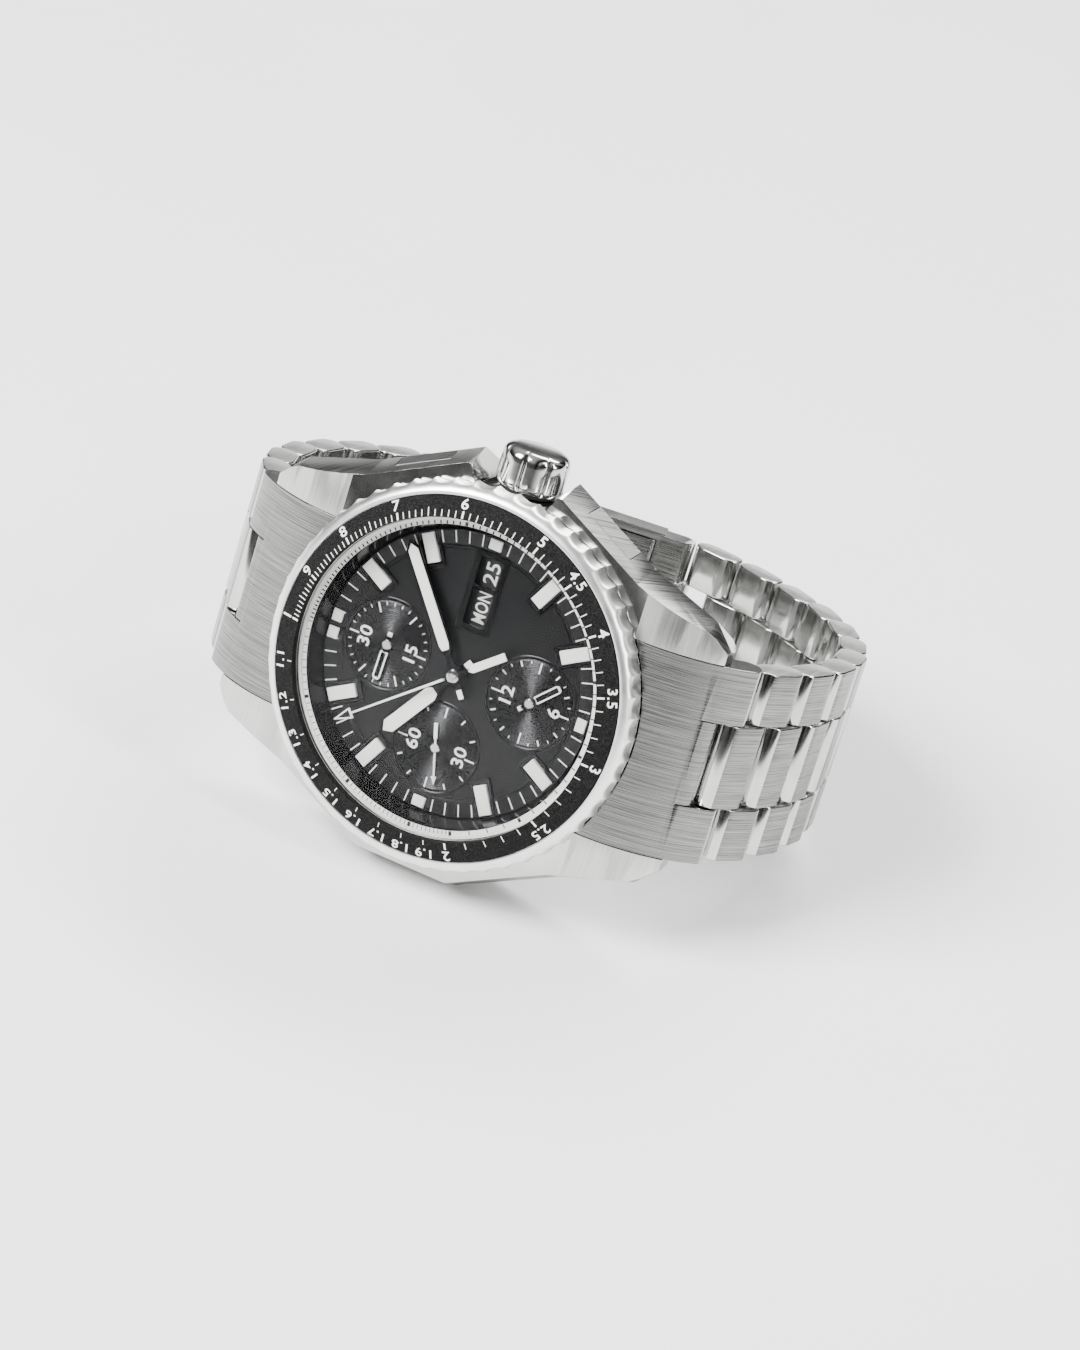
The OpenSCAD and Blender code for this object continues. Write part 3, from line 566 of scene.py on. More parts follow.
@dataclass(frozen=True)
class SteelFinish(Base):
    """Stainless steel, 316L: brushed with abrasive belt, satin or buffed.

    A belt leaves parallel scratches that spread a highlight across them, and buffing leaves a mirror with a
    faint waviness.

    Args:
        name: the material's name.
        light: colour of the bright streaks.
        dark: colour of the dark streaks.
        rough: mean roughness.
        spread: how far the roughness varies between streaks.
        relief: depth of the scratches for the bump, in millimetres.
        streak: length and width of a scratch, in millimetres.
        turn: the axes whose x runs along the scratches, as Euler angles.
    """

    name: str
    light: str = "#dcdcda"
    dark: str = "#bdbdbb"
    rough: float = 0.3
    spread: float = 0.08
    relief: float = 0.004
    streak: tuple[float, float] = (9.0, 0.09)
    turn: tuple[float, float, float] = (0.0, 0.0, 0.0)

    def mix(self) -> bpy.types.Material:
        """Builds the material."""
        material, tree, shader = self.start(self.name)
        length, width = self.streak
        place = add_node(tree, "ShaderNodeTexCoord").outputs["Object"]
        mapped = add_node(tree, "ShaderNodeMapping", {
            "Vector": place, "Rotation": self.turn, "Scale": (length * MM, width * MM, length * MM),
        }, vector_type="TEXTURE").outputs["Vector"]
        streaks = add_node(tree, "ShaderNodeTexNoise", {
            "Vector": mapped, "Scale": 1.0, "Detail": 3.0, "Roughness": 0.6})
        cloud = add_node(tree, "ShaderNodeTexNoise", {"Vector": place, "Scale": 180.0, "Detail": 2.0})
        colour = ramp(tree, streaks.outputs["Fac"], ((0.3, self.dark), (0.7, self.light)))
        rough = add_node(tree, "ShaderNodeMapRange", {
            "Value": streaks.outputs["Fac"], "From Min": 0.3, "From Max": 0.7,
            "To Min": self.rough - self.spread, "To Max": self.rough + self.spread})
        smear = add_node(tree, "ShaderNodeMath", {
            0: cloud.outputs["Fac"], 1: self.spread * 0.5, 2: rough.outputs["Result"]}, operation="MULTIPLY_ADD")
        bump = add_node(tree, "ShaderNodeBump", {
            "Strength": 0.6, "Distance": self.relief * MM, "Height": streaks.outputs["Fac"]})
        self.connect(tree, shader, colour.outputs["Color"], smear.outputs["Value"], bump.outputs["Normal"])
        shader.inputs["Metallic"].default_value = 1.0
        return material


@dataclass(frozen=True)
class PaintFinish(Base):
    """A painted, printed, plated or moulded surface with a fine grain.

    Args:
        name: the material's name.
        colour: its main colour.
        fleck: the colour of its grain.
        rough: mean roughness.
        metal: 1 for a plated metal.
        grain: size of one grain, in millimetres.
        relief: height of a grain for the bump, in millimetres.
        share: how far up the noise the fleck starts, from 0 to 1.
        coat: weight of a clear coat.
        painted_glow: strength of a faint emission that brightens luminous paint, a painted glow.
        shine: how strongly the surface mirrors, where 0.5 is ordinary paint.
    """

    name: str
    colour: str
    fleck: str
    rough: float = 0.5
    metal: float = 0.0
    grain: float = 0.12
    relief: float = 0.003
    share: float = 0.55
    coat: float = 0.0
    painted_glow: float = 0.0
    shine: float = 0.5

    def mix(self) -> bpy.types.Material:
        """Builds the material."""
        material, tree, shader = self.start(self.name)
        place = add_node(tree, "ShaderNodeTexCoord").outputs["Object"]
        noise = add_node(tree, "ShaderNodeTexNoise", {
            "Vector": place, "Scale": 1.0 / (self.grain * MM), "Detail": 2.0, "Roughness": 0.6})
        colour = ramp(tree, noise.outputs["Fac"], (
            (self.share - 0.1, self.colour), (self.share + 0.15, self.fleck)))
        rough = add_node(tree, "ShaderNodeMapRange", {
            "Value": noise.outputs["Fac"], "To Min": self.rough - 0.06, "To Max": self.rough + 0.06})
        bump = add_node(tree, "ShaderNodeBump", {
            "Strength": 0.5, "Distance": self.relief * MM, "Height": noise.outputs["Fac"]})
        self.connect(tree, shader, colour.outputs["Color"], rough.outputs["Result"], bump.outputs["Normal"])
        shader.inputs["Metallic"].default_value = self.metal
        shader.inputs["Coat Weight"].default_value = self.coat
        shader.inputs["Specular IOR Level"].default_value = self.shine
        # A faint emission brightens the lume's white: a painted glow.
        if self.painted_glow:
            shader.inputs["Emission Color"].default_value = linear(self.colour)
            shader.inputs["Emission Strength"].default_value = self.painted_glow
        return material


@dataclass(frozen=True)
class DialFinish(Base):
    """Black-plated brass dial, brushed in rays from its centre under a clear lacquer.

    Rays catch the light in two soft fans that swing round the dial.

    Args:
        name: the material's name.
        dark: colour between the rays.
        light: colour of the rays.
        turn: the watch's axes, as Euler angles.
        rough: mean roughness.
    """

    name: str
    dark: str
    light: str
    turn: tuple[float, float, float]
    rough: float = 0.34

    def mix(self) -> bpy.types.Material:
        """Builds the material."""
        material, tree, shader = self.start(self.name)
        place = add_node(tree, "ShaderNodeTexCoord").outputs["Object"]
        mapped = add_node(tree, "ShaderNodeMapping", {
            "Vector": place, "Rotation": self.turn}, vector_type="TEXTURE").outputs["Vector"]
        angle = add_node(tree, "ShaderNodeTexGradient", {"Vector": mapped}, gradient_type="RADIAL")
        # 420 rays a turn are about 0.2 mm apart at the rim, coarser than real so that they show.
        rays = add_node(tree, "ShaderNodeTexNoise", {
            "W": add_node(tree, "ShaderNodeMath", {0: angle.outputs["Fac"], 1: 420.0},
                          operation="MULTIPLY").outputs["Value"],
            "Scale": 1.0, "Detail": 2.0}, noise_dimensions="1D")
        colour = ramp(tree, rays.outputs["Fac"], ((0.3, self.dark), (0.7, self.light)))
        rough = add_node(tree, "ShaderNodeMapRange", {
            "Value": rays.outputs["Fac"], "To Min": self.rough - 0.05, "To Max": self.rough + 0.05})
        bump = add_node(tree, "ShaderNodeBump", {
            "Strength": 0.5, "Distance": 0.002 * MM, "Height": rays.outputs["Fac"]})
        self.connect(tree, shader, colour.outputs["Color"], rough.outputs["Result"], bump.outputs["Normal"])
        shader.inputs["Metallic"].default_value = 0.6
        return material


@dataclass(frozen=True)
class GlassFinish(Base):
    """Sapphire crystal, polished and coated against reflections.

    The coating leaves only a trace of a reflection, so the glass is nearly all clear, with a mirror-smooth skin.
    Its index is sapphire's, 1.77.

    Args:
        name: the material's name.
        cover: how much of the surface isn't clear.
    """

    name: str
    cover: float = 0.07

    def mix(self) -> bpy.types.Material:
        """Builds the material."""
        material, tree, shader = self.start(self.name)
        place = add_node(tree, "ShaderNodeTexCoord").outputs["Object"]
        haze = add_node(tree, "ShaderNodeTexNoise", {"Vector": place, "Scale": 60.0, "Detail": 1.0})
        rough = add_node(tree, "ShaderNodeMapRange", {
            "Value": haze.outputs["Fac"], "To Min": 0.01, "To Max": 0.03})
        tree.links.new(rough.outputs["Result"], shader.inputs["Roughness"])
        shader.inputs["Base Color"].default_value = linear("#05070a")
        shader.inputs["IOR"].default_value = 1.77
        shader.inputs["Alpha"].default_value = self.cover
        return material


class Slot(Enum):
    """Material slots of the record."""

    POLISHED = "steel_polished"
    BRUSHED = "steel_brushed"
    BRACELET = "steel_bracelet"
    INSERT = "insert_black"
    DIAL = "dial_black"
    RING = "ring_white"
    LUME = "lume_white"
    HAND = "hand_steel"
    CRYSTAL = "crystal"
    GASKET = "gasket"


@dataclass
class Finishes:
    """Every finish of the watch, turned to the watch's axes where it has a direction.

    Args:
        axes: the watch's axes.
    """

    axes: Axes

    def __post_init__(self) -> None:
        """Makes the finishes."""
        across = self.axes.sub((0, 0, 0), (1, 0, 0), (0, 1, 0)).euler()
        slanted = self.axes.sub((0, 0, 0), (0, 0.6, 0.8), (0, 0.8, -0.6)).euler()
        self.polished = SteelFinish("steel_polished", "#c6c6c4", "#b8b8b6", 0.12, 0.03, 0.0006, (3.0, 3.0))
        self.bezel_steel = SteelFinish("steel_bezel_satin", "#f4f4f2", "#ebebe9", 0.34, 0.03, 0.0006,
                                       (2.0, 2.0))
        self.satin_top = SteelFinish("steel_satin_top", "#d4d4d2", "#b6b6b4", 0.33, 0.05, 0.004,
                                     (8.0, 0.11), across)
        # The flanks' steel is coloured far darker than the top's satin: painted shade laid over the real
        # brushing streaks.
        self.flank_brushed_painted_shade = SteelFinish("steel_flank_brushed_painted_shade", "#8c8c8a", "#4c4c4a", 0.3, 0.07, 0.007,
                                         (8.0, 0.12), slanted)
        self.insert_black = PaintFinish("insert_grained_black", "#060606", "#2a2a2a", 0.82, 0.0, 0.12, 0.02,
                                        shine=0.12)
        self.scale_white = PaintFinish("printed_white", "#f1f1ec", "#e4e4de", 0.5, 0.0, 0.3, 0.001)
        self.ring_white = PaintFinish("ring_enamel_white", "#f4f4ef", "#e9e9e3", 0.35, 0.0, 0.4, 0.001)
        self.print_black = PaintFinish("printed_black", "#0b0b0c", "#17171a", 0.5, 0.0, 0.3, 0.001)
        self.mirror_black = PaintFinish("flange_polished_black", "#141416", "#1b1b1e", 0.12, 0.9, 0.8, 0.0005)
        # The lume's faint emission is a painted glow.
        self.lume = PaintFinish("lume_white", "#f2f2ec", "#dedfd8", 0.55, 0.0, 0.09, 0.004, 0.6, painted_glow=0.05)
        self.groove_black = PaintFinish("subdial_grooved_black", "#2b2b2c", "#3c3c3e", 0.28, 0.8, 0.2, 0.001)
        self.rim_black = PaintFinish("frame_polished_black", "#0e0e0f", "#1c1c1e", 0.18, 0.5, 0.3, 0.001)
        self.hand_black = PaintFinish("hand_polished_dark", "#1b1b1d", "#2a2a2c", 0.2, 0.9, 0.4, 0.001)
        self.disc_black = PaintFinish("calendar_disc_black", "#0e0e0f", "#191919", 0.55, 0.0, 0.2, 0.001)
        self.dial = DialFinish("dial_sunray_black", "#101011", "#1d1d1e", self.axes.euler())
        self.rubber = PaintFinish("rubber_black", "#0a0a0a", "#1a1a1a", 0.7, 0.0, 0.1, 0.006)
        self.brass = PaintFinish("brass_gilt", "#b7924c", "#c8a561", 0.28, 1.0, 0.3, 0.002)
        self.plate = PaintFinish("plate_nickel_grained", "#b9b8b2", "#cfcec8", 0.3, 1.0, 0.15, 0.004)
        self.glass = GlassFinish("sapphire_crystal")

    def link_steel_painted_shade(self, frame: Axes, number: str) -> SteelFinish:
        """Belt-brushed steel whose scratches run along one piece of the bracelet, its colour darkened as painted
        shade.
        """
        turn = frame.sub((0, 0, 0), (0, 1, 0), (-1, 0, 0)).euler()
        # Light and dark streaks are the real brushing, and both are darkened overall as painted shade.
        return SteelFinish(f"steel_link_brushed_painted_shade_{number}", "#989896", "#4e4e4c", 0.25, 0.08, 0.008,
                           (9.0, 0.11), turn)


# ---------------------------------------------------------------- the watch


@dataclass
class Watch:
    """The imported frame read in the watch's own axes.
    """

    frame: dict
    axes: Axes = field(init=False)

    def __post_init__(self) -> None:
        """Takes z from the bezel's turning axis, x from the crown's slide, and 0 at the caseback's face."""
        self.joints = joints = {j["name"]: j for j in self.frame["joints"]}
        z = np.array(joints["bezel_turn"]["axis"], float)
        x = np.array(joints["crown_pull"]["axis"], float)
        z, x = z / np.linalg.norm(z), x / np.linalg.norm(x)
        on_axis = np.array(joints["bezel_turn"]["pos_m"], float)
        basis = np.stack([x, np.cross(z, x), z])
        self.axes = Axes(on_axis, basis)
        low = self.span("caseback")[0][2]
        self.axes = Axes(on_axis + low * MM * z, basis)

    def points(self, node: str) -> np.ndarray:
        """A CAD node's points, in watch millimetres."""
        return self.axes.read(read_vectors(self.frame["nodes"][node].data.vertices, "co"))

    def span(self, node: str) -> tuple[np.ndarray, np.ndarray]:
        """The lowest and highest corner of a CAD node, in watch millimetres."""
        points = self.points(node)
        return points.min(0), points.max(0)

    def reach(self, node: str) -> tuple[float, float]:
        """The smallest and largest distance of a node's points from the dial's axis."""
        radius = np.hypot(*self.points(node)[:, :2].T)
        return float(radius.min()), float(radius.max())

    def place(self, joint: str) -> np.ndarray:
        """A joint's place, in watch millimetres."""
        return self.axes.read(np.array(self.joints[joint]["pos_m"], float))

    def pivot(self, joint: str) -> np.ndarray:
        """A joint's place taken to x = 0."""
        return self.place(joint) * np.array([0.0, 1.0, 1.0])

    def middle(self, joint: str) -> tuple[float, float]:
        """A joint's plan position."""
        place = self.place(joint)
        return float(place[0]), float(place[1])


def finish_piece(piece: bpy.types.Object, body: str, slot: Slot, *nodes: str) -> bpy.types.Object:
    """Hands a piece to the frame.

    Args:
        piece: the piece.
        body: the body that it rides on.
        slot: its material slot, which is not used.
        nodes: the CAD nodes that it stands for.

    Returns:
        The piece.
    """
    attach(piece, body)
    if nodes:
        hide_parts(*nodes)
    LOG.info("%s rides on %s: %d faces", piece.name, body, len(piece.data.polygons))
    return piece


def soften(piece: bpy.types.Object, width: float, segments: int = 2, angle: float = 30.0) -> None:
    """Rounds a piece's sharp edges.

    Args:
        piece: the piece.
        width: width of the round, in millimetres.
        segments: faces across it.
        angle: the least angle, in degrees, of an edge that is rounded.
    """
    bevel = piece.modifiers.new("edge", "BEVEL")
    bevel.width, bevel.segments = width * MM, segments
    bevel.limit_method, bevel.angle_limit = "ANGLE", math.radians(angle)
    bevel.harden_normals = True
    bevel.miter_outer = "MITER_ARC"


def copy_node(watch: Watch, node: str, name: str, finishes: Sequence["Finish"],
              choose: Callable[[np.ndarray, np.ndarray], np.ndarray] | None = None) -> bpy.types.Object:
    """A merged copy of a CAD node's mesh, with a finish for each face.

    Args:
        watch: the watch.
        node: the CAD node.
        name: the piece's name.
        finishes: what the finish numbers mean.
        choose: gives a finish number for each face from its centre and normal, in watch axes.

    Returns:
        The new object.
    """
    mesh = watch.frame["nodes"][node].data.copy()
    mesh.name = name
    mesh.materials.clear()
    work = bmesh.new()
    work.from_mesh(mesh)
    bmesh.ops.remove_doubles(work, verts=work.verts, dist=COPY_MERGE)
    bmesh.ops.dissolve_limit(work, angle_limit=FLAT, verts=work.verts, edges=work.edges)
    work.to_mesh(mesh)
    work.free()
    for finish in finishes:
        mesh.materials.append(finish.material())
    if choose is not None:
        picked = choose(watch.axes.read(read_vectors(mesh.polygons, "center")),
                        read_vectors(mesh.polygons, "normal") @ watch.axes.basis.T)
        mesh.polygons.foreach_set("material_index", np.asarray(picked, np.int32))
    mesh.shade_smooth()
    mesh.set_sharp_from_angle(angle=SHARP)
    return link_object(name, mesh)


def dress_node(watch: Watch, node: str, finish: "Finish") -> None:
    """Gives its finish to a CAD node that keeps its shape."""
    data = watch.frame["nodes"][node].data
    data.materials.clear()
    data.materials.append(finish.material())
    LOG.info("%s keeps its shape: %s", node, finish.name)


@dataclass
class Case:
    """Case middle, pushers and caseback.

    Args:
        watch: the watch.
        finishes: its finishes.
        edge, pusher_edge, back_edge: width of the rounded edges of each.
        flank_x: distance from the middle line past which a sloping face is a flank.
        top_r: radius outside which a face that looks up is the case's top.
        guard_y: half the length of the crown's cut.
    """

    watch: Watch
    finishes: Finishes
    edge: float = 0.14
    pusher_edge: float = 0.05
    back_edge: float = 0.08
    flank_x: float = 11.3
    top_r: float = 18.4
    guard_y: float = 6.6

    def choose(self, centre: np.ndarray, normal: np.ndarray) -> np.ndarray:
        """Satin on top, brushed on the flanks above the widest line, polished below and in the cuts."""
        radius = np.hypot(centre[:, 0], centre[:, 1])
        sideways, up = np.abs(normal[:, 0]), normal[:, 2]
        # Faces picked as flank take the darkened steel, which is painted shade.
        flank = (sideways > 0.5) & (up > 0.05) & (up < 0.6) & (np.abs(centre[:, 0]) > self.flank_x)
        top = (up > 0.25) & ~flank & (radius > self.top_r)
        picked = np.full(len(centre), 2)
        picked[top] = 0
        picked[flank] = 1
        picked[(np.abs(centre[:, 1]) < self.guard_y) & (up < 0.6)] = 2
        return picked

    def build(self) -> None:
        """Makes the pieces of the case."""
        f = self.finishes
        steels = [f.satin_top, f.flank_brushed_painted_shade, f.polished]
        middle = copy_node(self.watch, "case_middle", "case_shell", steels, self.choose)
        soften(middle, self.edge)
        finish_piece(middle, "case", Slot.BRUSHED, "case_middle")
        for node in ("start_pusher", "reset_pusher"):
            pusher = copy_node(self.watch, node, f"{node}_block", steels, self.choose)
            soften(pusher, self.pusher_edge)
            finish_piece(pusher, node, Slot.BRUSHED, node)
        back = copy_node(self.watch, "caseback", "case_back", [f.satin_top, f.polished],
                         lambda centre, normal: np.where(normal[:, 2] < -0.99, 0, 1))
        soften(back, self.back_edge)
        finish_piece(back, "case", Slot.BRUSHED, "caseback")


@dataclass
class Bezel:
    """Turning bezel with a scalloped edge and a black insert that carries a log scale.

    The scale runs counter-clockwise: a value v from 1 to 10 stands at minus 360 times log10(v) degrees.
    """

    watch: Watch
    finishes: Finishes
    scallops: int = 56
    scallop_depth: float = 0.46
    scallop_band: float = 0.62
    tick_thick: float = 0.02
    rim_drop: float = 0.1
    plate_edge: float = 0.06
    label_size: float = 1.6
    small_size: float = 1.45
    label_place: float = 0.71
    outer: float = field(init=False)
    insert_in: float = field(init=False)
    insert_out: float = field(init=False)
    insert_high: float = field(init=False)
    drop: float = field(init=False)

    def wave(self, angle: np.ndarray, radius: np.ndarray) -> np.ndarray:
        """Round bites between narrow crests, fading out inwards from the rim."""
        bite = np.abs(np.cos(angle * self.scallops / 2))
        fade = np.clip((radius - (self.outer - self.scallop_band)) / self.scallop_band, 0, 1) ** 2
        return self.scallop_depth * bite * fade

    def surface(self, radius: np.ndarray) -> np.ndarray:
        """Height of the insert's face at a radius."""
        share = (radius - self.insert_in) / (self.insert_out - self.insert_in)
        return self.insert_high - self.drop * share

    @staticmethod
    def angle(value: np.ndarray | float) -> np.ndarray:
        """Where a value stands, in radians clockwise from 12 o'clock."""
        return -TURN * np.log10(value)

    def build(self) -> None:
        """Makes the ring, the insert and the scale."""
        f, watch = self.finishes, self.watch
        low, high = watch.span("bezel")
        inner, self.outer = watch.reach("bezel")
        self.insert_in, self.insert_out = watch.reach("bezel_insert")
        insert_low, insert_top = watch.span("bezel_insert")
        self.insert_high = insert_top[2]
        rim_z = high[2]
        self.drop = self.insert_high - (rim_z - self.rim_drop)
        seat = self.insert_out + 0.04
        out = self.outer
        ring = Shape().add(*revolve([
            (inner + 1.1, low[2]), (out - 0.4, low[2]), (out - 0.12, low[2] + 0.1), (out, low[2] + 0.4),
            (out, rim_z - 2.1), (out - 0.03, rim_z - 1.75), (out - 0.16, rim_z - 1.2),
            (out - 0.38, rim_z - 0.7), (out - 0.68, rim_z - 0.32), (out - 1.0, rim_z - 0.1),
            (seat + 0.22, rim_z), (seat + 0.06, rim_z - 0.02), (seat, rim_z - 0.1), (seat, insert_low[2]),
            (inner, insert_low[2]), (inner, insert_low[2] - 0.12), (inner + 1.1, insert_low[2] - 0.12)],
            self.scallops * 14, self.wave))
        finish_piece(ring.build("bezel_ring", watch.axes, [f.bezel_steel]), "bezel", Slot.POLISHED, "bezel")
        edge = self.plate_edge
        plate = Shape().add(*revolve([
            (self.insert_in, insert_low[2]), (self.insert_out, insert_low[2]),
            (self.insert_out, rim_z - self.rim_drop - edge),
            (self.insert_out - edge, self.surface(self.insert_out - edge)),
            (self.insert_in + edge, self.surface(self.insert_in + edge)),
            (self.insert_in, self.insert_high - edge)],
            240))
        finish_piece(plate.build("bezel_scale_plate", watch.axes, [f.insert_black]), "bezel", Slot.INSERT,
                     "bezel_insert")
        self.scale()

    def scale(self) -> None:
        """Ticks and numbers in white, a hair above the insert."""
        start, full = self.insert_in + 0.1, self.insert_out - self.insert_in
        fine = np.round(np.concatenate([np.arange(1.1, 2, 0.1), np.arange(2, 10.05, 0.1)]), 2)
        fine = fine[fine < 9.99]
        whole = np.isclose(fine, np.round(fine))
        half = np.isclose(fine * 2, np.round(fine * 2)) & ~whole
        bold = (whole | (half & (fine < 5))) & (fine >= 2)
        plain_share = np.where(half & (fine > 5), 0.4, np.where(fine < 2, 0.24, 0.3))
        length = np.where(bold, 0.33, plain_share) * full
        width = np.where(bold, 0.2, 0.085)
        angles = self.angle(fine)
        scale = Shape().add(*ticks(angles, start, start + length, width, self.surface, self.tick_thick))
        scale.add(*ticks([0.0], start, start + 0.33 * full, 0.2, self.surface, self.tick_thick))
        labels = ["1"] + [f"1.{k}" for k in range(1, 10)]
        labels += ["2", "2.5", "3", "3.5", "4", "4.5", "5", "6", "7", "8", "9"]
        slope = math.atan(self.drop / full)
        centre = self.insert_in + self.label_place * full
        for label in labels:
            size = self.small_size if "." in label else self.label_size
            points, faces = lettering(label, size, 0.03, 0.02, 1.12, 1.12)
            tilted = np.column_stack([points[:, 0], centre + points[:, 1] * math.cos(slope),
                                      points[:, 2] - points[:, 1] * math.sin(slope) + self.surface(centre)])
            scale.add(spin(tilted, self.angle(float(label))), faces)
        piece = scale.build("bezel_scale", self.watch.axes, [self.finishes.scale_white], flat=True)
        finish_piece(piece, "bezel", Slot.RING)


@dataclass
class Flange:
    """White scale ring under the crystal with its polished dark wall, and the crystal."""

    watch: Watch
    finishes: Finishes
    white_w: float = 0.52
    tick_thick: float = 0.015
    crystal_edge: float = 0.3

    def build(self) -> None:
        """Makes the ring, its black scale and the crystal."""
        f, watch = self.finishes, self.watch
        inner, outer = watch.reach("scale_ring")
        low, high = watch.span("scale_ring")
        lip = outer - self.white_w
        top, bottom = high[2], low[2]
        points, faces = revolve([
            (inner + 0.05, bottom), (outer, bottom), (outer, top), (lip + 0.04, top), (lip, top - 0.05),
            (lip - 0.12, top - 0.5), (inner + 0.05, bottom + 0.3)], 180)
        heights = points[faces][:, :, 2].mean(1)
        shape = Shape().add(points, faces, np.where(heights > top - 0.06, 0, 1))
        ring = shape.build("flange_ring", watch.axes, [f.ring_white, f.mirror_black])
        finish_piece(ring, "case", Slot.RING, "scale_ring")
        values = np.concatenate([np.arange(1, 2, 0.02), np.arange(2, 5, 0.1), np.arange(5, 10, 0.1)])
        length = np.where(values < 5, 0.42, 0.36)
        width = np.where(values < 2, 0.09, np.where(values < 5, 0.13, 0.17))
        marks = Shape().add(*ticks(Bezel.angle(values), lip + 0.03, lip + 0.03 + length, width,
                                   lambda r: np.full_like(r, top), self.tick_thick))
        bold = np.array([1.2, 1.5, 1.8, 2.0, 2.4, 3.0, 3.6, 4.0, 4.8, 6.0])
        marks.add(*ticks(Bezel.angle(bold), lip + 0.03, lip + 0.5, 0.34, lambda r: np.full_like(r, top),
                         self.tick_thick * 1.5))
        finish_piece(marks.build("flange_scale", watch.axes, [f.print_black], flat=True), "case", Slot.DIAL)
        self.crystal()

    def crystal(self) -> None:
        """A flat disc of sapphire with a chamfered rim."""
        radius = self.watch.reach("crystal")[1]
        low, high = self.watch.span("crystal")
        shape = Shape().add(*revolve([
            (0, low[2]), (radius - 0.06, low[2]), (radius, low[2] + 0.06),
            (radius, high[2] - self.crystal_edge), (radius - self.crystal_edge, high[2]), (0, high[2])], 160))
        piece = shape.build("crystal_disc", self.watch.axes, [self.finishes.glass])
        finish_piece(piece, "case", Slot.CRYSTAL, "crystal")


@dataclass
class Counter:
    """One small dial: its middle, its marks and its two numbers.

    Args:
        name: piece name stem.
        middle: its plan position.
        marks: clockwise angle in degrees, length and width of every mark.
        numbers: text and distance towards 12 o'clock of each number.
    """

    name: str
    middle: tuple[float, float]
    marks: np.ndarray
    numbers: tuple[tuple[str, float], ...]


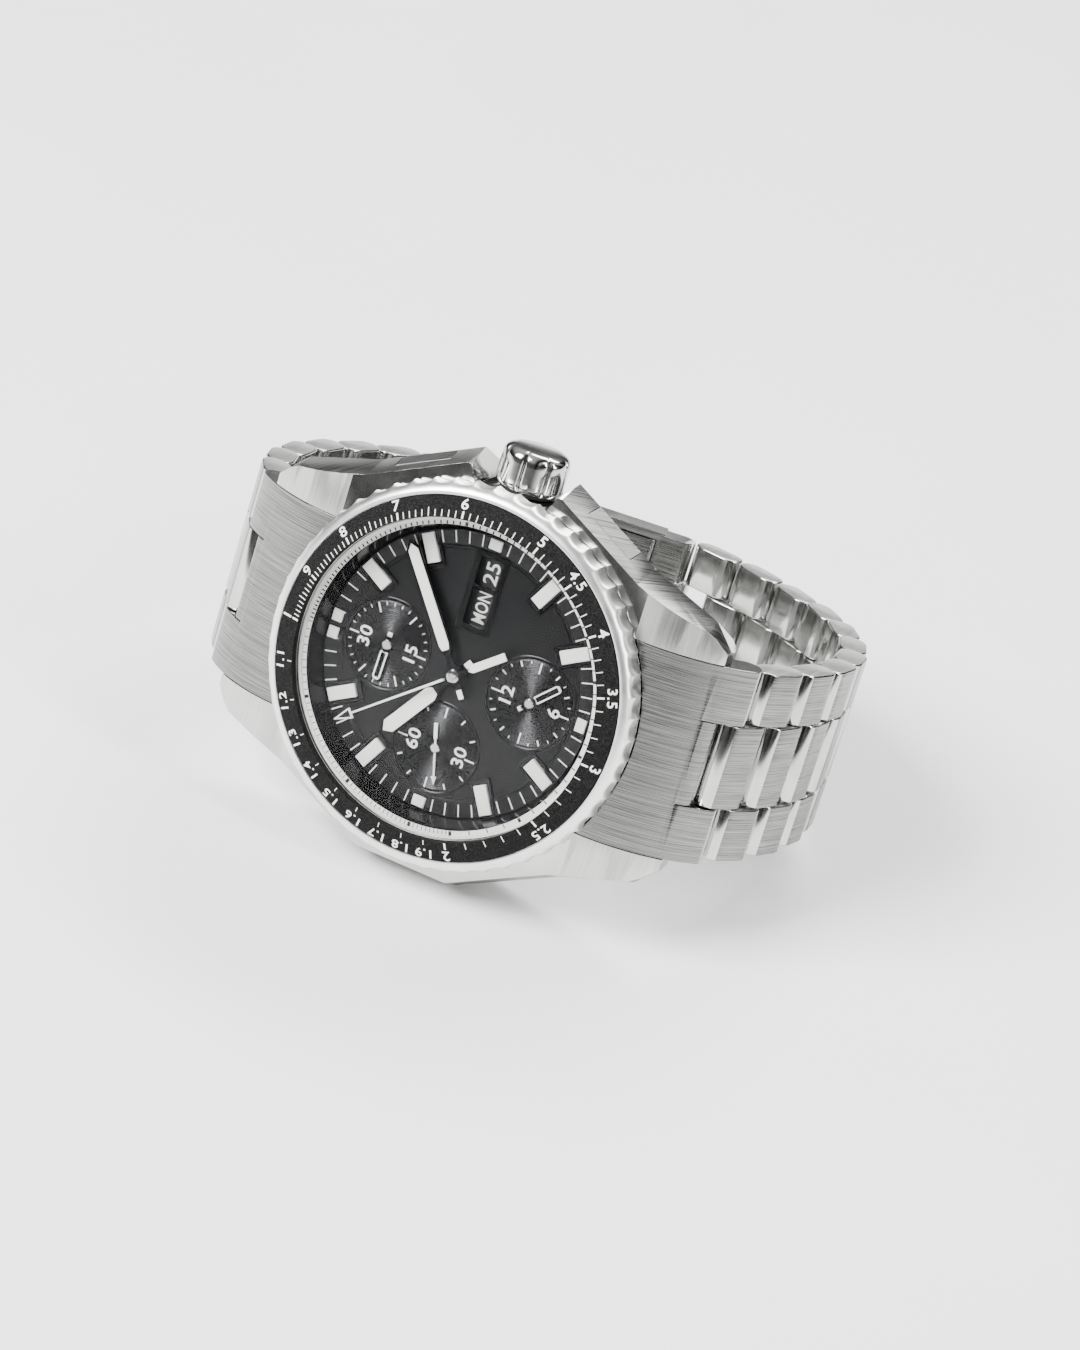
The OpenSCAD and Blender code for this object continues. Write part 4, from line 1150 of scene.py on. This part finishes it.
@dataclass
class Dial:
    """Dial with a raised minute track, applied markers in frames, three grooved counters and a calendar."""

    watch: Watch
    finishes: Finishes
    print_thick: float = 0.015
    rib: float = 0.05
    groove_pitch: float = 0.19
    groove_depth: float = 0.07
    track_in: float = 13.65
    sink: float = 0.12
    block_w: float = 1.5
    short_l: float = 1.2
    twin_x: float = 0.95
    twin_w: float = 1.3
    counter_r: float = 4.76
    counter_hole: float = 0.42
    number_size: float = 1.95
    window: tuple[float, float] = (5.4, 13.0)
    window_w: float = 2.7
    day_out: float = 8.93
    face: float = field(init=False)
    track_out: float = field(init=False)

    def build(self) -> None:
        """Makes the pieces of the dial."""
        self.face = self.watch.span("hour_markers")[0][2]
        self.track_out = self.watch.reach("scale_ring")[0] - 0.06
        dress_node(self.watch, "dial", self.finishes.dial)
        self.markers()
        self.track()
        for counter in self.counters():
            self.counter(counter)
        self.calendar()

    def track_height(self, radius: np.ndarray) -> np.ndarray:
        """Height of the raised track, which climbs outwards."""
        share = np.clip((radius - self.track_in) / (self.track_out - self.track_in), 0, 1)
        return self.face + 0.2 + 0.15 * share

    def markers(self) -> None:
        """Luminous blocks with chamfered edges, each standing in a polished black frame."""
        points = self.watch.points("hour_markers")
        radius, angle = np.hypot(points[:, 0], points[:, 1]), np.arctan2(points[:, 0], points[:, 1])
        high = self.watch.span("hour_markers")[1][2]
        from_one = angle - TURN / 12
        along = (radius * np.cos(from_one))[np.abs(from_one) < 0.12]
        inner, outer = float(along.min()), float(along.max())
        blocks, frames = Shape(), Shape()
        for hour in range(12):
            turn = hour * TURN / 12
            if hour == 0:
                plans = [(s * self.twin_x, outer - self.short_l, outer, self.twin_w) for s in (-1, 1)]
            else:
                start = outer - self.short_l if hour % 3 == 0 else inner
                plans = [(0.0, start, outer, self.block_w)]
            for x, r0, r1, w in plans:
                box = rounded_box(w - 0.06, r1 - r0 - 0.06, 0.06, 3) + np.array([x, (r0 + r1) / 2])
                solid, faces = slab(box, self.face, high, 0.07)
                blocks.add(spin(solid, turn), faces)
                if hour == 3:
                    continue
                long = r1 - r0
                rim_out = rounded_box(w + 1.0, long + 0.95, 0.35) + np.array([x, (r0 + r1) / 2 - 0.2])
                rim_in = rounded_box(w + 0.34, long + 0.34, 0.12) + np.array([x, (r0 + r1) / 2])
                if hour == 0:
                    rim_out = rounded_box(w + 0.5, long + 0.8, 0.2) + np.array([x, (r0 + r1) / 2 - 0.1])
                rim_out[:, 1] = np.minimum(rim_out[:, 1], self.track_out - 0.02)
                rim_in[:, 1] = np.minimum(rim_in[:, 1], self.track_out - 0.12)
                ring, faces = frame_band(rim_out, rim_in, self.face, self.face + 0.3, 0.07)
                frames.add(spin(ring, turn), faces)
        axes = self.watch.axes
        finish_piece(blocks.build("hour_blocks", axes, [self.finishes.lume]), "case", Slot.LUME, "hour_markers")
        finish_piece(frames.build("hour_frames", axes, [self.finishes.rim_black]), "case", Slot.DIAL)

    def track(self) -> None:
        """White minute marks on the raised track, and a fine rib along its inner edge between the frames."""
        minutes = np.array([m for m in range(60) if m % 5])
        marks = Shape().add(*ticks(minutes * TURN / 60, 14.0, self.track_out - 0.05, 0.13, self.track_height,
                                   self.print_thick))
        piece = marks.build("minute_marks", self.watch.axes, [self.finishes.scale_white], flat=True)
        finish_piece(piece, "case", Slot.RING)
        ribs = Shape()
        for hour in range(12):
            first, last = hour * TURN / 12 + 0.105, (hour + 1) * TURN / 12 - 0.105
            sweep = np.linspace(first, last, 14)
            r0 = self.track_in - 0.3
            inner_arc, outer_arc = clock(sweep, r0 - self.rib), clock(sweep, r0 + self.rib)
            outline = np.concatenate([outer_arc[::-1], inner_arc])
            points, faces = slab(outline, self.face, self.face + 0.05, 0.02)
            ribs.add(points, faces)
        finish_piece(ribs.build("track_ribs", self.watch.axes, [self.finishes.rim_black]), "case", Slot.DIAL)

    def counters(self) -> tuple[Counter, ...]:
        """The three small dials."""
        middle = self.watch.middle
        thirty = np.array([(12.0 * k, 1.1, 0.17) if k % 5 == 0 else (12.0 * k, 0.36, 0.09) for k in range(30)])
        sixty = np.array([(30.0 * k, 1.15 if k % 3 == 0 else 0.6, 0.17) for k in range(12)])
        twelve = np.array([(15.0 * k, (1.2 if k % 6 == 0 else 0.6) if k % 2 == 0 else 0.3,
                            0.17 if k % 2 == 0 else 0.1) for k in range(24)])
        return (Counter("minutes_counter", middle("minute_counter_turn"), thirty, (("30", 2.75), ("15", -2.75))),
                Counter("seconds_counter", middle("train_turn"), sixty, (("60", 2.75), ("30", -2.75))),
                Counter("hours_counter", middle("hour_counter_turn"), twelve, (("12", 2.75), ("6", -2.75))))

    def counter(self, counter: Counter) -> None:
        """A sunken disc of concentric grooves in a polished rim, with its marks and numbers."""
        f, axes = self.finishes, self.watch.axes
        radius, hole = self.counter_r, self.counter_hole
        floor = self.face - self.sink
        count = int((radius - 0.1 - hole) / self.groove_pitch)
        steps = np.arange(count * 4)
        r = hole + 0.02 + steps * self.groove_pitch / 4
        wave = np.array([0.0, 0.5, 1.0, 0.5])[steps % 4]
        top = floor + 0.05 + wave * self.groove_depth
        profile = [(hole, floor + 0.004)] + list(zip(r, top))
        profile += [(radius - 0.02, floor + 0.05), (radius, floor + 0.004)]
        points, faces = revolve(profile, 90)
        middle = np.array([*counter.middle, 0.0])
        disc = Shape().add(points + middle, faces)
        finish_piece(disc.build(f"{counter.name}_disc", axes, [f.groove_black]), "case", Slot.DIAL)
        edges = ((4.8, -0.02), (5.12, -0.02), (5.12, 0.04), (5.04, 0.09), (4.9, 0.09), (4.8, 0.02))
        points, faces = revolve([(r0, self.face + up) for r0, up in edges], 120)
        rim = Shape().add(points + middle, faces)
        finish_piece(rim.build(f"{counter.name}_rim", axes, [f.rim_black]), "case", Slot.DIAL)
        level = floor + 0.05 + self.groove_depth
        turn, length, width = counter.marks.T
        marks = Shape().add(*ticks(np.radians(turn), radius - 0.2 - length, radius - 0.2, width,
                                   lambda r: np.full_like(r, level), self.print_thick, counter.middle))
        for text, up in counter.numbers:
            letters, faces = lettering(text, self.number_size, self.print_thick, 0.03, 1.15, 1.05)
            marks.add(letters + np.array([counter.middle[0], counter.middle[1] + up, level]), faces)
        finish_piece(marks.build(f"{counter.name}_print", axes, [f.scale_white], flat=True), "case", Slot.RING)

    def calendar(self) -> None:
        """Stepped window frame at 3 o'clock, and the day and date on their discs."""
        f, axes = self.finishes, self.watch.axes
        (start, end), width = self.window, self.window_w
        middle, length = (start + end) / 2, end - start
        frame = Shape()
        for grow, top in ((0.28, 0.06), (0.62, 0.12), (0.96, 0.16)):
            outer = rounded_box(length + grow + 0.3, width + grow + 0.3, 0.22) + np.array([middle, 0])
            inner = rounded_box(length + grow, width + grow, 0.12) + np.array([middle, 0])
            frame.add(*frame_band(outer, inner, self.face - 0.02, self.face + top, 0.04))
        lip = frame_band(rounded_box(length + 0.2, width + 0.2, 0.2) + np.array([middle, 0]),
                         rounded_box(length - 0.1, width - 0.1, 0.18) + np.array([middle, 0]),
                         self.face - 0.5, self.face + 0.03, 0.03)
        frame.add(*lip)
        bar = rounded_box(0.35, width - 0.1, 0.05, 3) + np.array([9.65, 0])
        frame.add(*slab(bar, self.face - 0.5, self.face - 0.05, 0.05))
        finish_piece(frame.build("calendar_frame", axes, [f.rim_black]), "case", Slot.DIAL)
        top = self.watch.span("day_disc")[1][2]
        # The day's plate is carried out under its letters, as far as the date's disc.
        for node, text, x, wide, tall, outer in (
                ("day_disc", "MON", 7.35, 3.35, 1.5, self.day_out),
                ("date_disc", "25", 11.2, 2.35, 1.6, self.watch.span("date_disc")[1][0])):
            letters, faces = lettering(text, 2.0, self.print_thick, 0.02, 1.0, 1.05)
            letters[:, :2] *= np.array([wide, tall]) / np.ptp(letters[:, :2], axis=0)
            sign = Shape().add(letters + np.array([x, 0, top]), faces)
            piece = sign.build(f"{node}_print", axes, [f.scale_white], flat=True)
            finish_piece(piece, node, Slot.RING)
            low, high = self.watch.span(node)
            inner = self.watch.reach(node)[0]
            plate = Shape().add(*revolve([
                (inner, low[2]), (outer, low[2]), (outer, high[2] - 0.03), (outer - 0.03, high[2]),
                (inner + 0.03, high[2]), (inner, high[2] - 0.03)], 120))
            finish_piece(plate.build(f"{node}_plate", axes, [f.disc_black]), node, Slot.DIAL, node)


@dataclass
class Hands:
    """The six hands: dark polished frames with luminous fills, and fine white pointers."""

    watch: Watch
    finishes: Finishes
    thick: float = 0.22

    def angle_of(self, node: str, middle: tuple[float, float]) -> float:
        """A hand's clockwise angle, from its farthest point."""
        points = self.watch.points(node)[:, :2] - np.array(middle)
        far = points[np.argmax(np.hypot(points[:, 0], points[:, 1]))]
        return math.atan2(far[0], far[1])

    def dressed(self, node: str, body: str, level: float, middle: tuple[float, float], dark: list,
                white: list, turned: Sequence = ()) -> None:
        """Joins a hand's dark plates, white plates and turned pieces into one piece.

        Args:
            node: the CAD node that the piece stands for.
            body: the body that it rides on.
            level: height of the hand's underside.
            middle: plan position of its axis.
            dark: outlines of dark plates, with foot, top and chamfer above level.
            white: outlines of white plates, likewise.
            turned: profiles of turned pieces, with their finish number.
        """
        angle = self.angle_of(node, middle)
        shape = Shape()
        for number, plates in ((0, dark), (1, white)):
            for outline, low, high, edge in plates:
                points, faces = slab(outline, level + low, level + high, edge)
                shape.add(spin(points, angle, middle), faces, number)
        for profile, number in turned:
            points, faces = revolve(profile, 40)
            shape.add(points + np.array([*middle, 0.0]), faces, number)
        piece = shape.build(f"{node}_piece", self.watch.axes,
                            [self.finishes.hand_black, self.finishes.lume, self.finishes.polished])
        finish_piece(piece, body, Slot.HAND, node)

    @staticmethod
    def pointer(width: float, start: float, end: float, point: float, root: float) -> np.ndarray:
        """A baton's outline from start to end, with a point of a given length and a narrower root."""
        w = width / 2
        return np.array([(-root / 2, start), (root / 2, start), (w, start + 0.6), (w, end - point), (0.0, end),
                         (-w, end - point), (-w, start + 0.6)])

    def build(self) -> None:
        """Makes all six hands."""
        t, watch = self.thick, self.watch
        long, hour_long = watch.reach("minute_hand")[1], watch.reach("hour_hand")[1]
        hour_z = watch.span("hour_hand")[1][2] - t
        minute_z = watch.span("minute_hand")[1][2] - t
        hub_z = watch.span("chrono_hand")[1][2]
        chrono_z = hub_z - 0.45
        hub = rounded_box(2.5, 2.5, 1.2)
        self.dressed("hour_hand", "hour_hand", hour_z, (0.0, 0.0), [
            (self.pointer(1.9, 2.6, hour_long, 0.95, 1.0), 0, t, 0.08),
            (rounded_box(0.95, 5.2, 0.1) + [0, 0.2], 0, t, 0.06),
            (hub, 0, t, 0.08)], [
            (self.pointer(1.56, 3.05, hour_long - 0.28, 0.8, 0.9), t - 0.06, t + 0.05, 0.03),
            (rounded_box(0.7, 0.9, 0.05, 3) + [0, -1.9], t - 0.06, t + 0.03, 0.02)])
        self.dressed("minute_hand", "minute_hand", minute_z, (0.0, 0.0), [
            (self.pointer(1.6, 2.4, long, 1.0, 0.9), 0, t, 0.08),
            (rounded_box(0.85, 5.4, 0.1), 0, t, 0.06),
            (hub * 0.86, 0, t, 0.08)], [
            (self.pointer(1.16, 2.8, long - 0.45, 0.72, 0.8), t - 0.06, t + 0.05, 0.03),
            (rounded_box(0.6, 1.0, 0.05, 3) + [0, -2.1], t - 0.06, t + 0.03, 0.02)])
        self.chrono(chrono_z, hub_z)
        self.small_hands()

    def chrono(self, level: float, hub_z: float) -> None:
        """The fine chronograph hand: a needle with an open triangle, a baton tail and a pinned hub."""
        reach = self.watch.reach("chrono_hand")[1]
        base, tip, inner = reach - 2.3, reach - 0.1, 0.2
        triangle = [np.array([(-0.58, base), (0.58, base), (0.58, base + inner), (-0.58, base + inner)]),
                    np.array([(0.42, base + inner), (0.58, base + inner), (0.04, tip), (-0.04, tip - 0.28)]),
                    np.array([(-0.58, base + inner), (-0.42, base + inner), (0.04, tip - 0.28), (-0.04, tip)])]
        needle = np.array([(-0.14, 0.9), (0.14, 0.9), (0.1, base), (-0.1, base)])
        stem = np.array([(-0.2, -2.2), (0.2, -2.2), (0.2, 1.2), (-0.2, 1.2)])
        t = 0.16
        tail = np.array([(-0.45, -6.5), (0.45, -6.5), (0.45, -2.4), (0.15, -1.9), (-0.15, -1.9), (-0.45, -2.4)])
        hub = [((0, level - 0.02), (0.72, level - 0.02), (0.72, level + 0.2), (0.62, level + 0.28),
                (0.42, level + 0.3), (0.38, hub_z - 0.06), (0.3, hub_z), (0, hub_z)), 2]
        self.dressed("chrono_hand", "chrono_hand", level, (0.0, 0.0), [(stem, 0, t, 0.03)],
                     [(needle, 0, t, 0.03), (tail, 0, t, 0.04)] + [(p, 0, t, 0.02) for p in triangle], [hub])

    def small_hands(self) -> None:
        """The counters' hands: two open batons and one arrow."""
        for node, body, joint in (("minute_counter_hand", "minute_counter", "minute_counter_turn"),
                                  ("seconds_hand", "seconds_train", "train_turn"),
                                  ("hour_counter_hand", "hour_counter", "hour_counter_turn")):
            middle = self.watch.middle(joint)
            points = self.watch.points(node)[:, :2] - np.array(middle)
            reach = float(np.hypot(points[:, 0], points[:, 1]).max())
            level = self.watch.span(node)[1][2] - self.thick
            t = 0.14
            hub = [((0, level), (0.55, level), (0.55, level + 0.12), (0.45, level + 0.2), (0, level + 0.2)), 2]
            if node == "seconds_hand":
                needle = np.array([(-0.09, -1.2), (0.09, -1.2), (0.09, reach - 0.8), (-0.09, reach - 0.8)])
                arrow = np.array([(-0.3, reach - 1.0), (0.3, reach - 1.0), (0.0, reach - 0.1)])
                white = [(needle, 0, t, 0.02), (arrow, 0, t, 0.02),
                         (rounded_box(0.42, 1.7, 0.04, 3) + [0, -1.85], 0, t, 0.03)]
                self.dressed(node, body, level, middle, [], white, [hub])
                continue
            w, wall, start, end = 0.42, 0.13, 0.95, reach - 0.35
            slit = w - wall
            sides = [np.array([(s * w, start), (s * w, end), (s * slit, end), (s * slit, start)])[::-s]
                     for s in (1, -1)]
            caps = [np.array([(-w, start - wall), (w, start - wall), (w, start), (-w, start)]),
                    np.array([(-w, end), (w, end), (0.25, reach - 0.1), (-0.25, reach - 0.1)])]
            dark = [(np.array([(-slit, start), (slit, start), (slit, end), (-slit, end)]), 0, t * 0.6, 0.01),
                    (np.array([(-0.2, -1.1), (0.2, -1.1), (0.2, start), (-0.2, start)]), 0, t, 0.02)]
            white = [(p, 0, t, 0.02) for p in sides + caps]
            white.append((rounded_box(0.5, 0.5, 0.05, 3) + [0, -1.15], 0, t, 0.03))
            self.dressed(node, body, level, middle, dark, white, [hub])


@dataclass
class Crown:
    """Fluted crown and its black seal."""

    watch: Watch
    finishes: Finishes
    flutes: int = 8
    flute_depth: float = 0.3
    pad_depth: float = 0.1
    out: float = field(init=False)

    def wave(self, angle: np.ndarray, radius: np.ndarray) -> np.ndarray:
        """Narrow grooves between broad, slightly flattened pads."""
        phase = (angle * self.flutes / TURN + 0.5) % 1.0 - 0.5
        groove = self.flute_depth * np.exp(-((phase / 0.07) ** 2))
        pad = self.pad_depth * (1 - np.cos(TURN * (phase + 0.5))) / 2
        return (groove + pad) * np.clip((radius - self.out + 0.5) / 0.4, 0, 1)

    def build(self) -> None:
        """Makes the crown on the crown's own axes: z outwards along the watch's x."""
        f, watch = self.finishes, self.watch
        low, high = watch.span("crown")
        self.out = float((high[1] - low[1]) / 2)
        z = float((high[2] + low[2]) / 2)
        length = float(high[0] - low[0])
        out = self.out
        axes = watch.axes.sub((low[0], 0.0, z), (0, 1, 0), (0, 0, 1))
        body = Shape().add(*revolve([
            (0, 0.0), (out - 0.5, 0.0), (out - 0.3, 0.04), (out - 0.06, 0.3), (out, 0.5), (out, 0.7),
            (out, 1.2), (out, length - 1.5), (out, length - 1.05), (out - 0.03, length - 0.85),
            (out - 0.12, length - 0.6), (out - 0.35, length - 0.32), (out - 0.75, length - 0.12),
            (out - 1.3, length - 0.03), (0, length)], 320, self.wave))
        finish_piece(body.build("crown_cap", axes, [f.polished]), "crown", Slot.POLISHED, "crown")
        seal = Shape().add(*revolve([(1.75, -0.42), (out - 0.75, -0.42), (out - 0.6, -0.3), (out - 0.6, -0.1),
                                     (out - 0.7, 0.05), (1.75, 0.05)], 80))
        finish_piece(seal.build("crown_seal", axes, [f.rubber]), "crown", Slot.GASKET)


@dataclass
class Bracelet:
    """Three-row bracelet: end links, links of an outer pair and a staggered centre piece, and the clasp."""

    watch: Watch
    finishes: Finishes
    edge: float = 0.16
    centre_share: float = 0.44
    row_gap: float = 0.12
    link_gap: float = 0.15
    cap_steps: int = 9
    bar_r: float = 1.6
    pin_r: float = 0.55
    pin_end: float = 1.0
    cover_edge: float = 0.12
    leaf_edge: float = 0.07
    end_edge: float = 0.1

    def section(self, start: float, length: float, radius: float) -> np.ndarray:
        """A link's outline of (y, z) points: a bar with round ends, counter-clockwise from +x."""
        turn = np.linspace(-math.pi / 2, math.pi / 2, self.cap_steps)
        right = np.stack([start + length - radius + radius * np.cos(turn), radius * np.sin(turn)], -1)
        left = np.stack([start + radius - radius * np.cos(turn), -radius * np.sin(turn)], -1)
        flat = np.linspace(0, 1, 6)[1:-1]
        top = right[-1] + flat[:, None] * (left[0] - right[-1])
        low = left[-1] + flat[:, None] * (right[0] - left[-1])
        return np.concatenate([right, top, left, low])

    def bar(self, shape: Shape, start: float, length: float, radius: float, x0: float, x1: float) -> None:
        """Adds one bar: brushed on its flats, polished on its round ends and plain on its end faces."""
        outline = self.section(start, length, radius)
        points, sides, caps = loft(outline, x0, x1, self.edge)
        middle = points[sides].mean(1)
        flat = np.abs(middle[:, 1] - start - length / 2) < length / 2 - radius * 0.72
        shape.add(points, sides, np.where(flat & (middle[:, 2] > 0), 0, 1))
        shape.add(points, caps, 2)

    def build(self) -> None:
        """Makes every link, the end links and the clasp."""
        for side, count in ((6, 10), (12, 7)):
            self.run(side, count)
        self.end_links()
        self.clasp()

    def run(self, side: int, count: int) -> None:
        """The links of one side, each on axes with y along the link and z outwards."""
        watch = self.watch
        sign = -1.0 if side == 6 else 1.0
        pivots = [watch.pivot(f"flex_{side}_{i}") for i in range(1, count + 1)]
        if side == 12:
            pivots.append(watch.pivot("flex_12_clasp"))
        pitch = float(np.linalg.norm(pivots[1] - pivots[0]))
        heads = [math.atan2(-(b - a)[2], sign * (b - a)[1]) for a, b in zip(pivots, pivots[1:])]
        heads += [heads[-1] + heads[-1] - heads[-2]] * (count - len(heads))
        length, back = pitch - self.link_gap, pitch / 4
        for number, (pivot, head) in enumerate(zip(pivots, heads), 1):
            node = f"link_{side}_{number}"
            half = float(watch.span(node)[1][0])
            along = np.array([0.0, sign * math.cos(head), -math.sin(head)])
            frame = watch.axes.sub(pivot, (sign, 0, 0), along)
            centre = half * self.centre_share
            shape = Shape()
            for s in (1, -1):
                x0, x1 = sorted((s * (centre + self.row_gap), s * half))
                self.bar(shape, back + self.link_gap / 2, length, self.bar_r, x0, x1)
            self.bar(shape, -back + self.link_gap / 2, length, self.bar_r, -centre, centre)
            for y, reach in ((0.0, half - self.pin_end), (2 * back, centre + self.pin_end)):
                points, faces = revolve([(0, -reach), (self.pin_r, -reach), (self.pin_r, reach), (0, reach)], 20)
                shape.add(points[:, [2, 0, 1]] + np.array([0, y, 0]), faces, 1)
            # The links' brushed steel is darkened as painted shade.
            brushed = self.finishes.link_steel_painted_shade(frame, f"{side}_{number}")
            steels = [brushed, self.finishes.polished, self.finishes.satin_top]
            piece = shape.build(f"{node}_piece", frame, steels)
            finish_piece(piece, node, Slot.BRACELET, node)

    def end_links(self) -> None:
        """The end links, brushed along the bracelet on top and polished on their ends."""
        # The end links' brushed top is darkened as painted shade.
        along = self.finishes.link_steel_painted_shade(self.watch.axes, "end")

        def choose(centre: np.ndarray, normal: np.ndarray) -> np.ndarray:
            """Brushed where the face looks up and not sideways."""
            return np.where((normal[:, 2] > 0.2) & (np.abs(normal[:, 0]) < 0.3), 0, 1)

        for side in (6, 12):
            node = f"end_link_{side}"
            piece = copy_node(self.watch, node, f"{node}_piece", [along, self.finishes.polished], choose)
            soften(piece, self.end_edge)
            finish_piece(piece, "case", Slot.BRACELET, node)

    def clasp(self) -> None:
        """The folding clasp, brushed on its broad faces and polished on its sides."""
        start = self.watch.pivot("flex_12_clasp")
        points = self.watch.points("clasp_cover")
        far = points[points[:, 1] < points[:, 1].min() + 0.5].mean(0)
        direction = np.array([0.0, far[1] - start[1], far[2] - start[2]])
        direction /= np.linalg.norm(direction)
        out = np.cross(np.array([1.0, 0, 0]), direction)
        if out[2] > 0:
            out = -out
        frame = self.watch.axes.sub(start, (1, 0, 0), direction)
        # The clasp's broad faces take steel darkened as painted shade.
        brushed = self.finishes.link_steel_painted_shade(frame, "clasp")

        def choose(centre: np.ndarray, normal: np.ndarray) -> np.ndarray:
            """Brushed where the face looks squarely in or out."""
            return np.where(np.abs(normal @ out) > 0.95, 0, 1)

        for node, body in (("clasp_cover", "clasp_cover"), ("clasp_bottom_leaf", "clasp_bottom"),
                           ("clasp_middle_leaf", "clasp_middle")):
            piece = copy_node(self.watch, node, f"{node}_piece", [brushed, self.finishes.polished], choose)
            soften(piece, self.cover_edge if node == "clasp_cover" else self.leaf_edge)
            finish_piece(piece, body, Slot.BRACELET, node)


@dataclass
class Movement:
    """CAD nodes that keep their shape and only take a finish."""

    watch: Watch
    finishes: Finishes

    def build(self) -> None:
        """Gives each inner node its finish."""
        f = self.finishes
        groups = (
            (f.rubber, ("caseback_gasket",)),
            (f.ring_white, ("crystal_gasket",)),
            (f.polished, ("crown_tube", "stem", "spring_bars")),
            (f.plate, ("movement_ring", "mainplate", "train_bridge", "rotor", "escape_wheel", "pallet_fork")),
            (f.brass, ("setting_collar", "barrel", "centre_wheel", "third_wheel", "fourth_wheel", "balance")),
        )
        for finish, names in groups:
            for name in names:
                dress_node(self.watch, name, finish)


@dataclass
class Studio:
    """Camera, pale floor, soft lights and a plain sky.

    Args:
        centre: the middle of the watch, in metres.
        floor_z: height of the floor, in metres.
        aim: the point that the camera looks at, in metres.
        distance: from the camera to that point, in metres.
        azimuth, elevation, roll: the camera's direction, in degrees.
        lens: focal length on a 36 mm tall sensor.
        floor_half: half the floor's side, in metres.
        lamps: name, place from the centre in metres, size in metres and power in watts of each light.
    """

    centre: Vector
    floor_z: float
    aim: tuple[float, float, float] = (0.00808, -0.00691, 0.00471)
    distance: float = 0.4492
    azimuth: float = 20.08
    elevation: float = 30.82
    roll: float = 11.94
    lens: float = 114.67
    floor_half: float = 3.0
    lamps: tuple = (("key", (-0.3, -0.35, 0.45), (0.35, 0.35), 12.0),
                    ("side", (0.5, -0.1, 0.3), (0.08, 0.4), 3.0),
                    ("back", (0.05, 0.45, 0.5), (0.5, 0.15), 6.0))

    def camera(self) -> None:
        """Sets the camera at its angle, with its roll."""
        data = bpy.data.cameras.new("camera")
        data.lens, data.sensor_fit, data.clip_start = self.lens, "VERTICAL", 0.01
        data.sensor_height = data.sensor_width = 36.0
        holder = link_object("camera", data)
        azimuth, elevation = math.radians(self.azimuth), math.radians(self.elevation)
        toward = Vector((math.sin(azimuth) * math.cos(elevation), -math.cos(azimuth) * math.cos(elevation),
                         math.sin(elevation)))
        right = Vector((0, 0, 1)).cross(toward).normalized()
        up = toward.cross(right)
        turn = math.radians(self.roll)
        rolled = right * math.cos(turn) + up * math.sin(turn)
        basis = Matrix((rolled, toward.cross(rolled), toward)).transposed().to_4x4()
        holder.matrix_world = Matrix.Translation(Vector(self.aim) + toward * self.distance) @ basis
        bpy.context.scene.camera = holder

    def light(self, name: str, place: Sequence[float], size: tuple[float, float], power: float) -> None:
        """A soft rectangular light that looks at the watch."""
        data = bpy.data.lights.new(name, "AREA")
        data.shape, data.size, data.size_y, data.energy = "RECTANGLE", size[0], size[1], power
        holder = link_object(name, data)
        holder.location = self.centre + Vector(place)
        holder.rotation_euler = (self.centre - holder.location).to_track_quat("-Z", "Y").to_euler()

    def sky(self) -> None:
        """A light sky with darker bands low down and to one side, which give the steel its contrast."""
        world = bpy.data.worlds.new("studio")
        bpy.context.scene.world = world
        world.use_nodes = True
        tree = world.node_tree
        tree.nodes.clear()
        place = add_node(tree, "ShaderNodeTexCoord").outputs["Generated"]
        split = add_node(tree, "ShaderNodeSeparateXYZ", {"Vector": place})
        height = add_node(tree, "ShaderNodeMapRange", {
            "Value": split.outputs["Z"], "From Min": -1.0, "From Max": 1.0})
        colour = ramp(tree, height.outputs["Result"], (
            (0.0, "#c0c0c0"), (0.42, "#c0c0c0"), (0.54, "#5a5a5a"), (0.66, "#9a9a9a"), (0.8, "#ffffff"),
            (1.0, "#ffffff")))
        side = add_node(tree, "ShaderNodeMapRange", {
            "Value": split.outputs["X"], "From Min": -1.0, "From Max": 1.0})
        bands = ramp(tree, side.outputs["Result"], (
            (0.0, "#5c5c5c"), (0.12, "#d8d8d8"), (0.35, "#ffffff"), (0.55, "#c8c8c8"), (0.66, "#2a2a2a"),
            (0.74, "#161616"), (0.79, "#ffffff"), (0.86, "#d0d0d0"), (0.9, "#101010"), (1.0, "#2c2c2c")))
        both = add_node(tree, "ShaderNodeMix", {0: 1.0, 6: colour.outputs["Color"], 7: bands.outputs["Color"]},
                        data_type="RGBA", blend_type="MULTIPLY")
        ground = add_node(tree, "ShaderNodeBackground", {"Color": both.outputs[2], "Strength": 0.95})
        add_node(tree, "ShaderNodeOutputWorld", {"Surface": ground.outputs["Background"]})

    def floor(self) -> None:
        """A wide pale floor that just touches the watch."""
        half = self.floor_half
        mesh = bpy.data.meshes.new("floor")
        corners = [(x * half, y * half, self.floor_z) for x, y in ((-1, -1), (1, -1), (1, 1), (-1, 1))]
        mesh.from_pydata(corners, [], [(0, 1, 2, 3)])
        floor = link_object("floor", mesh)
        mesh.materials.append(PaintFinish("floor_white", "#f7f7f7", "#fafafa", 0.9, 0.0, 60.0, 0.001).material())
        floor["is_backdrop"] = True

    def build(self) -> None:
        """Sets the stage."""
        self.camera()
        self.sky()
        self.floor()
        for lamp in self.lamps:
            self.light(*lamp)


def plain(box: Sequence[Sequence[float]]) -> list[list[float]]:
    """A box as plain lists of numbers."""
    return [[float(value) for value in corner] for corner in box]


def main() -> None:
    """Builds the watch, piece by piece."""
    logging.basicConfig(level=logging.INFO, format="%(message)s")
    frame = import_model()
    cad_box = plain(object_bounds())
    watch = Watch(frame)
    finishes = Finishes(watch.axes)
    for part in (Case, Bezel, Flange, Dial, Hands, Crown, Bracelet, Movement):
        part(watch, finishes).build()
    low, high = (Vector(corner) for corner in cad_box)
    Studio((low + high) / 2, low.z).build()


if __name__ == "__main__":
    main()
